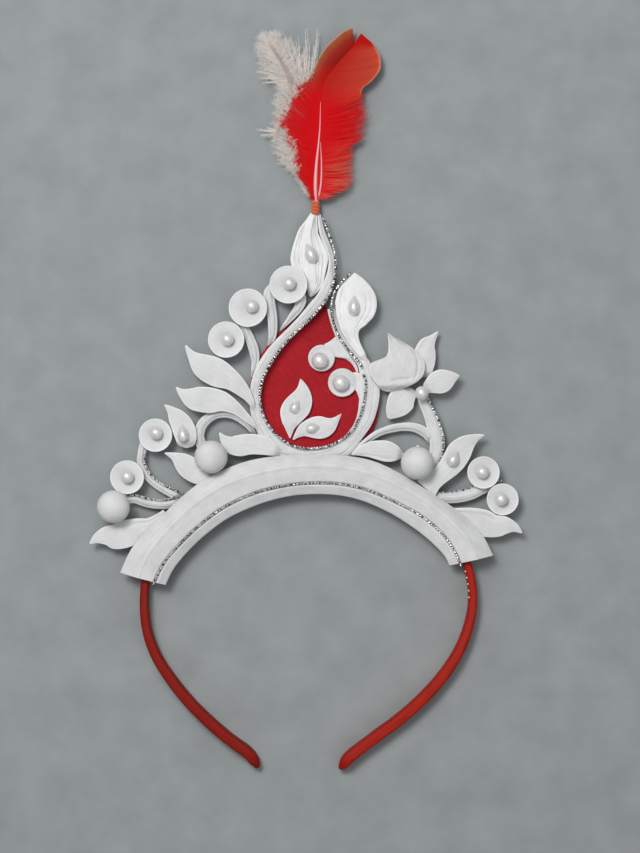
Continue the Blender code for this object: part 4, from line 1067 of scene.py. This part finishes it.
def make_scrolls():
    """The two scrolls on the felt: a rimmed cup for its pearl, and a tail."""
    relief = Relief(crown=0.35, edge=0.35)
    tails = {"scroll_upper": (from_edges(UPPER_TAIL_ROWS), (-1.0, 0.0)),
             "scroll_lower": (LOWER_TAIL_ROWS, (0.0, -1.0))}
    for name, (x, y, radius, pearl_x, pearl_y, pearl) in SCROLLS.items():
        form = Form()
        rows = [(0.9 * radius, STEM_LOW), (radius, STEM_LOW + 0.4), (radius, SCROLL_HIGH - 0.45),
                (0.97 * radius, SCROLL_HIGH - 0.15), (0.92 * radius, SCROLL_HIGH),
                (0.86 * radius, SCROLL_HIGH - 0.06), (0.78 * radius, SCROLL_HIGH - 0.3),
                (0.6 * radius, SCROLL_HIGH - 0.5), (0.01, SCROLL_HIGH - 0.5)]
        add_turned(form, x, y, rows, 64, 0.01)
        tail, way = tails[name]
        add_strip(form, tail, STEM_LOW, SCROLL_HIGH - 0.1, relief, right=way, sink=0.0)
        put("carved_" + name, form, PITH_SMOOTH, (name,))


def make_base():
    """The pith arch: outer slope, ridge, middle field, the cord's groove and the lip."""
    fine = smooth_rows(BASE_ROWS, 0.8)
    rights, run = ways_of(fine)
    skew = 7.0
    climb = BASE_RIDGE_HIGH - 0.45 - BASE_EDGE_HIGH
    field_high = BASE_RIDGE_HIGH - 0.36
    fall = BASE_GROOVE_HIGH - BASE_RIDGE_HIGH + 0.36
    rings = []
    grains = []
    for index, (x, y, field, slope, lip) in enumerate(fine):
        near = 1 - fade(run[index], 0.0, skew)
        far = 1 - fade(run[-1] - run[index], 0.0, skew)
        side = (rights[index] * (1 - near - far) + np.array(BASE_END_WAYS[0]) * near
                + np.array(BASE_END_WAYS[1]) * far)
        side = side / np.linalg.norm(side)
        outer = field + slope
        inner = -BASE_GROOVE_HALF - 0.25
        section = [(-outer + 0.2, BASE_LOW), (-outer, BASE_LOW + 0.2),
                   (-outer + 0.03, BASE_EDGE_HIGH - 0.25), (-outer + 0.3, BASE_EDGE_HIGH)]
        for t in (k / 9 for k in range(1, 9)):
            section.append((-outer + 0.3 + (slope - 0.7) * t,
                            BASE_EDGE_HIGH + climb * t + 0.35 * sin(pi * t)))
        section += [(-field + across, BASE_RIDGE_HIGH + height) for across, height in RIDGE_SECTION]
        for t in (k / 9 for k in range(10)):
            section.append((-field + 1.35 + (field - 1.35 + inner) * t, field_high + fall * t ** 1.2))
        section += GROOVE_SECTION
        for t in (k / 6 for k in range(1, 7)):
            section.append((1.1 + (lip - 1.5) * t, BASE_LIP_HIGH + (BASE_INNER_HIGH - BASE_LIP_HIGH) * t))
        section += [(lip - 0.1, BASE_INNER_HIGH - 0.22), (lip, BASE_INNER_HIGH - 0.5),
                    (lip, BASE_LOW + 0.2), (lip - 0.2, BASE_LOW)]
        ring = []
        grain = []
        for offset, height in section:
            px = x + side[0] * offset
            py = y + side[1] * offset
            if height > BASE_LOW + 0.3:
                height += 0.07 * wave(px, py, 4.0, 3.0) + 0.03 * wave(px, py, 1.4, 5.0)
            ring.append((px, py, height))
            grain.append((offset, run[index], 1.0))
        rings.append(ring)
        grains.append(grain)
    form = Form()
    form.loft(rings, grains)
    put("carved_base_strip", form, PITH, ("base_strip",), sharp=40)


def edge_route(name, share, start, end, z):
    """A route along a stem's edge, from start to end of its length."""
    fine = smooth_rows(STEMS[name], 1.5)
    right, run = ways_of(fine)
    route = []
    for (x, y, width), side, along in zip(fine, right, run):
        if start <= along / run[-1] <= end:
            route.append((x + side[0] * share * width / 2, y + side[1] * share * width / 2, z))
    return route


def flat_route(rows, z):
    """A route at one height through the x and y of the rows."""
    return [(row[0], row[1], z) for row in rows]


def past_ends(route, reach):
    """The route with its ends carried on by reach."""
    ends = []
    for here, inner in ((route[0], route[1]), (route[-1], route[-2])):
        away = Vector(here) - Vector(inner)
        ends.append(tuple(Vector(here) + away.normalized() * reach))
    return [ends[0]] + route + [ends[1]]


def make_cords():
    """The silver cords, glued all the way along."""
    edge_z = STEM_HIGH - 0.3
    right_route = edge_route("right_stem", -0.97, 0.2, 0.97, edge_z - 0.6) + [(78.9, -32.5, edge_z + 1.0)]
    cords = (
        ("twist_base", past_ends(flat_route(BASE_ROWS, BASE_CORD_Z + 0.1), 1.2), 0.46, ("base_cord",)),
        ("twist_drop", flat_route(DROP_CORD_ROUTE, STRIP_CORD_Z), 0.62, ("drop_cord",)),
        ("twist_side", flat_route(SIDE_CORD_ROUTE, STRIP_CORD_Z), 0.6, ("side_cord",)),
        ("twist_left_upper", edge_route("left_stem_upper", -0.8, 0.24, 0.97, edge_z), 0.5, ()),
        ("twist_left_lower", edge_route("left_stem_lower", -0.8, 0.18, 0.97, edge_z), 0.5, ()),
        ("twist_flower", edge_route("flower_stem", -0.82, 0.06, 0.98, edge_z), 0.55, ()),
        ("twist_right", right_route, 0.4, ()),
    )
    for name, route, radius, nodes in cords:
        form = Form()
        add_twist(form, route, radius)
        put(name, form, SILVER, nodes)


def band_rows():
    """The band's rows with their back and front, which close in at the tips."""
    depths = [(0.0, BAND_DEPTH)] * len(BAND_ROWS)
    depths[:2] = BAND_TIPS
    depths[-2:] = reversed(BAND_TIPS)
    return [(*row, *depth) for row, depth in zip(BAND_ROWS, depths)]


def make_band():
    """The Alice band: ribbon drawn tight over a flat spring."""
    fine = smooth_rows(band_rows(), 1.0)
    right, run = ways_of(fine)
    rings = []
    grains = []
    for (x, y, thick, back, front), side, along in zip(fine, right, run):
        back = max(back, 0.0)
        half = thick / 2
        radius = min(BAND_CORNER, 0.9 * half, 0.45 * (front - back))
        corners = ((-half + radius, back + radius, 270), (-half + radius, front - radius, 180),
                   (half - radius, front - radius, 90), (half - radius, back + radius, 0))
        outline = []
        for centre_x, centre_z, start in corners:
            for k in range(5):
                turn = radians(start - 90 * k / 4)
                outline.append((centre_x + radius * cos(turn), centre_z + radius * sin(turn)))
        ring = []
        grain = []
        around = 0.0
        last = outline[-1]
        for offset, height in outline:
            around += sqrt((offset - last[0]) ** 2 + (height - last[1]) ** 2)
            last = (offset, height)
            puff = 0.06 * wave(around * 0.6, along, 2.4) + 0.04 * wave(around, along, 1.1, 4.0)
            reach = offset + puff * (1 if offset > 0 else -1)
            lift = max(0.0, height + (0.04 * wave(around, along, 2.0, 8.0) if height > 1 else 0.0))
            ring.append((x + side[0] * reach, y + side[1] * reach, lift))
            grain.append((around, along, 0.0))
        rings.append(ring)
        grains.append(grain)
    form = Form()
    form.loft(rings, grains)
    put("wrapped_headband", form, SATIN, ("headband",), sharp=70)


def make_felt():
    """The felt drop with its fuzz."""
    rows = from_edges(reversed(FELT_ROWS))
    form = Form()
    add_strip(form, rows, 0.0, FELT_THICK, Relief(crown=0.0, edge=0.45, count=61), spacing=0.9,
              right=(1.0, 0.0), rough=0.8, sink=0.0)
    panel = put("cut_felt", form, FELT, ("red_panel",))
    fine = smooth_rows(rows, 0.5)
    chance = np.random.default_rng(11)
    form = Form()
    for _ in range(9000):
        x, y, width = fine[chance.integers(len(fine))]
        across = chance.uniform(-1, 1)
        if chance.random() < 0.12:
            across = np.sign(across)
        px = x + across * width / 2 * 0.995
        turn = chance.uniform(0, 2 * pi)
        length = chance.uniform(0.3, 0.9)
        z = FELT_THICK - 0.05 if abs(across) < 0.98 else chance.uniform(0.5, FELT_THICK - 0.2)
        bend = chance.uniform(-0.5, 0.5)
        points = [(px, y, z), (px + 0.5 * length * cos(turn), y + 0.5 * length * sin(turn), z + 0.10),
                  (px + length * cos(turn + bend), y + length * sin(turn + bend), z + 0.04)]
        add_spike(form, points, (0.05, 0.045, 0.02), px)
    fuzz = put("felt_fuzz", form, FELT)


def make_stitches():
    """The row of small white loops on the inner edge of the right arm."""
    fine = smooth_rows(BAND_ROWS, STITCH_SPACING)
    right = ways_of(fine)[0]
    form = Form()
    for (x, y, thick), side in zip(fine, right):
        if x > 0 and STITCH_Y[0] < y < STITCH_Y[1]:
            reach = thick / 2 - 0.1
            add_turned(form, x + side[0] * reach, y + side[1] * reach, STITCH_TURNING, 8)
    put("stitched_loops", form, STITCH)


def tube_rows(form, route, radii, sides=12):
    """A round skin along a route of x, y, z with its own radius at each point."""
    rings = []
    grains = []
    last = len(route) - 1
    for index, (point, radius) in enumerate(zip(route, radii)):
        before = Vector(route[max(index - 1, 0)])
        after = Vector(route[min(index + 1, last)])
        way = (after - before).normalized()
        side = way.cross(Vector((0, 0, 1)))
        side = side.normalized() if side.length > 1e-4 else Vector((1, 0, 0))
        up = side.cross(way)
        ring = []
        for k in range(sides):
            turn = 2 * pi * k / sides
            ring.append(tuple(Vector(point) + side * radius * cos(turn) + up * radius * sin(turn)))
        rings.append(ring)
        grains.append([(k / sides, index * 0.35, 0.0) for k in range(sides)])
    form.loft(rings, grains)


def make_binding():
    """Thick orange thread wound round the stub that holds the feathers."""
    form = Form()
    stub = [(BINDING_X, BINDING_LOW_Y + 0.2, BINDING_Z),
            (BINDING_X, BINDING_LOW_Y + BINDING_LENGTH - 0.2, BINDING_Z)]
    tube_rows(form, stub, (1.05, 1.05), 16)
    turns = 3.6
    strand = 0.72
    count = 120
    route = []
    for k in range(count + 1):
        t = k / count
        turn = 2 * pi * turns * t
        reach = BINDING_RADIUS - strand
        route.append((BINDING_X + reach * cos(turn),
                      BINDING_LOW_Y + strand + (BINDING_LENGTH - 2 * strand) * t,
                      BINDING_Z + reach * sin(turn)))
    tube_rows(form, route, [strand * (0.55 if k in (0, count) else 1.0) for k in range(count + 1)])
    put("wound_thread", form, THREAD, ("plume_binding",))


def bowed(root, tip, way, bow):
    """The three points of a bowed barb: root, middle, tip."""
    root = np.array(root, float)
    tip = np.array(tip, float)
    reach = np.linalg.norm(tip[:2] - root[:2])
    middle = (root + tip) / 2 + np.array((-way[0] * bow * reach, -way[1] * bow * reach, 0.03 * reach))
    return root, middle, tip


def on_bow(points, t):
    """The place at a share of the bow's length."""
    root, middle, tip = points
    return (1 - t) ** 2 * root + 2 * t * (1 - t) * middle + t * t * tip


def add_barb(form, points, width, lot, steps=6):
    """A barb along its bow that narrows to its tip."""
    places = [tuple(on_bow(points, k / (steps - 1))) for k in range(steps)]
    widths = [width * (1 - 0.7 * (k / (steps - 1)) ** 2) for k in range(steps)]
    add_spike(form, places, widths, lot, 0.3)


def add_hairs(form, points, count, length, lot, chance, start=0.15, width=0.07, spread=0.75):
    """Fine hairs that stand off a barb to both sides and lean towards its tip."""
    root, middle, tip = points
    for _ in range(count):
        t = chance.uniform(start, 1.0)
        base = on_bow(points, t)
        way = 2 * (1 - t) * (middle - root) + 2 * t * (tip - middle)
        angle = np.arctan2(way[1], way[0]) + chance.choice((-1, 1)) * chance.uniform(0.2, spread)
        reach = length * chance.uniform(0.4, 1.2)
        end = base + np.array((reach * cos(angle), reach * sin(angle), chance.uniform(-0.3, 0.35)))
        add_spike(form, [tuple(base), tuple(end)], (width, 0.4 * width), lot, 0.4)


def tables_at(rows, place):
    """Quill, left tip, right tip and the quill's way at a share of the feather's length."""
    place = min(max(place, 0.0), 1.0) * (len(rows) - 1)
    low = min(int(place), len(rows) - 2)
    t = place - low
    row = rows[low] * (1 - t) + rows[low + 1] * t
    way = rows[low + 1][:2] - rows[low][:2]
    return row[:2], row[2:4], row[4:6], way / np.linalg.norm(way)


def make_red_feather():
    """Fluffy barbs below and a closed vane above, split at its tip."""
    chance = np.random.default_rng(3)
    rows = smooth_rows(RED_VANES, steps=VANE_STEPS)
    form = Form()
    count = 760
    for number in range(count):
        share = number / (count - 1)
        quill, left, right, way = tables_at(rows, share)
        for side, tip in ((-1, left), (1, right)):
            lot = side * (1 + 0.013 * number)
            start = VANE_START if side > 0 else VANE_START_LEFT
            closed = fade(tip[1], start - 3.0, start + 4.0)
            loose = 1 - closed
            reach = 1 + chance.normal(0, 0.07) * loose + chance.normal(0, 0.004)
            end = quill + (tip - quill) * reach + chance.normal(0, 0.45, 2) * loose
            z = 6.05 + 0.12 * side * closed + chance.uniform(-0.6, 0.5) * loose
            lift = 0.3 * closed * np.sin(3.0 * share)
            points = bowed((*quill, RED_QUILL_Z), (*end, z + lift), way, 0.10)
            add_barb(form, points, 0.62 * closed + 0.4 * loose, lot, 6)
            if loose > 0.3 and number % 2 == 0:
                add_hairs(form, points, 10, 1.9, lot, chance, 0.35, 0.06, 0.9)
    put("red_barbs", form, RED_VANE, ("red_feather",), sharp=80)


def make_white_feather():
    """Soft white down behind the red feather, and its long wisps."""
    chance = np.random.default_rng(5)
    rows = smooth_rows(WHITE_VANES, steps=VANE_STEPS)
    form = Form()
    count = 190
    for number in range(count):
        share = number / (count - 1)
        quill, left, right, way = tables_at(rows, share)
        for side, tip in ((-1, left), (1, right)):
            lot = side * (1 + 0.05 * number)
            end = quill + (tip - quill) * (1 + chance.normal(0, 0.09)) + chance.normal(0, 0.5, 2)
            tip_z = WHITE_QUILL_Z + chance.uniform(-1.1, 0.9)
            points = bowed((*quill, WHITE_QUILL_Z), (*end, tip_z), way, 0.14)
            add_barb(form, points, 0.16, lot, 5)
            add_hairs(form, points, 44, 2.0, lot, chance, 0.1, 0.065, 1.0)
    for x, y, tip_x, tip_y in WISPS:
        way = np.array((tip_x - x, tip_y - y))
        way = way / np.linalg.norm(way)
        for _ in range(3):
            end = (tip_x + chance.normal(0, 0.5), tip_y + chance.normal(0, 0.5),
                   4.1 + chance.uniform(-0.8, 0.8))
            points = bowed((x, y, 4.3), end, (-way[1], way[0]), chance.uniform(-0.06, 0.06))
            add_barb(form, points, 0.17, 3.0, 6)
            add_hairs(form, points, 26, 0.9, 3.0, chance, 0.05, 0.06, 0.6)
    edge = smooth_rows(RED_VANES, steps=VANE_STEPS)[10:52, 2:4]
    for _ in range(110):
        start = edge[chance.integers(len(edge))] + chance.normal(0, 0.6, 2) - np.array((1.3, 1.6))
        end = start + np.array((chance.uniform(0.2, 2.4), chance.uniform(1.2, 3.4)))
        points = bowed((*start, 5.6), (*end, 6.8), (0.0, 1.0), 0.1)
        add_barb(form, points, 0.12, 3.0, 4)
        add_hairs(form, points, 18, 1.3, 3.0, chance, 0.0, 0.055, 1.0)
    put("white_barbs", form, WHITE_DOWN, ("white_feather",), sharp=80)


def make_shafts():
    """The pale shafts of the two feathers."""
    form = Form()
    for shaft in SHAFTS:
        fine = smooth_rows(shaft, 0.8)
        route = [(x, y, 6.35 - 0.8 * (1 - fade(y, 78.0, 86.0))) for x, y, radius in fine]
        tube_rows(form, route, [max(0.04, row[2]) for row in fine])
    put("feather_quills", form, QUILL)


def light(name, place, size, power, colour=(1, 1, 1)):
    """A square light that shines on the middle of the crown."""
    data = bpy.data.lights.new(name, "AREA")
    data.size = size
    data.energy = power
    data.color = colour
    lamp = bpy.data.objects.new(name, data)
    lamp.location = place
    lamp.rotation_euler = (-Vector(place)).to_track_quat("-Z", "Y").to_euler()
    bpy.context.collection.objects.link(lamp)


def make_studio():
    """Pale floor, soft light from near the camera and a camera straight above."""
    mesh = bpy.data.meshes.new("floor")
    half = 2.0
    corners = [(-half, -half, 0), (half, -half, 0), (half, half, 0), (-half, half, 0)]
    mesh.from_pydata(corners, [], [(0, 1, 2, 3)])
    mesh.materials.append(plain_finish("floor", (0.30, 0.32, 0.32, 1.0), 0.9, 60.0, 0.0001))
    floor = bpy.data.objects.new("floor", mesh)
    bpy.context.collection.objects.link(floor)

    world = bpy.data.worlds.new("studio")
    world.use_nodes = True
    world.node_tree.nodes["Background"].inputs["Color"].default_value = (0.94, 0.97, 1.0, 1.0)
    world.node_tree.nodes["Background"].inputs["Strength"].default_value = 0.27
    bpy.context.scene.world = world
    light("key", (-0.30, 0.42, 1.15), 0.3, 7.0)
    light("soft_box", (-0.28, 0.40, 1.12), 0.7, 5.0)
    light("fill", (0.5, -0.4, 1.2), 0.9, 2.0, (0.95, 0.98, 1.0))
    bpy.context.scene.view_settings.view_transform = "Standard"

    camera_data = bpy.data.cameras.new("camera")
    camera_data.sensor_width = 36.0
    camera_data.lens = 104.2
    camera = bpy.data.objects.new("camera", camera_data)
    camera.location = (0.0058, -0.0106, 1.0)
    bpy.context.collection.objects.link(camera)
    bpy.context.scene.camera = camera


make_stems()
make_leaves()
make_scrolls()
make_discs_and_balls()
make_pearls()
make_base()
make_cords()
make_band()
make_felt()
make_stitches()
make_binding()
make_red_feather()
make_white_feather()
make_shafts()
make_studio()
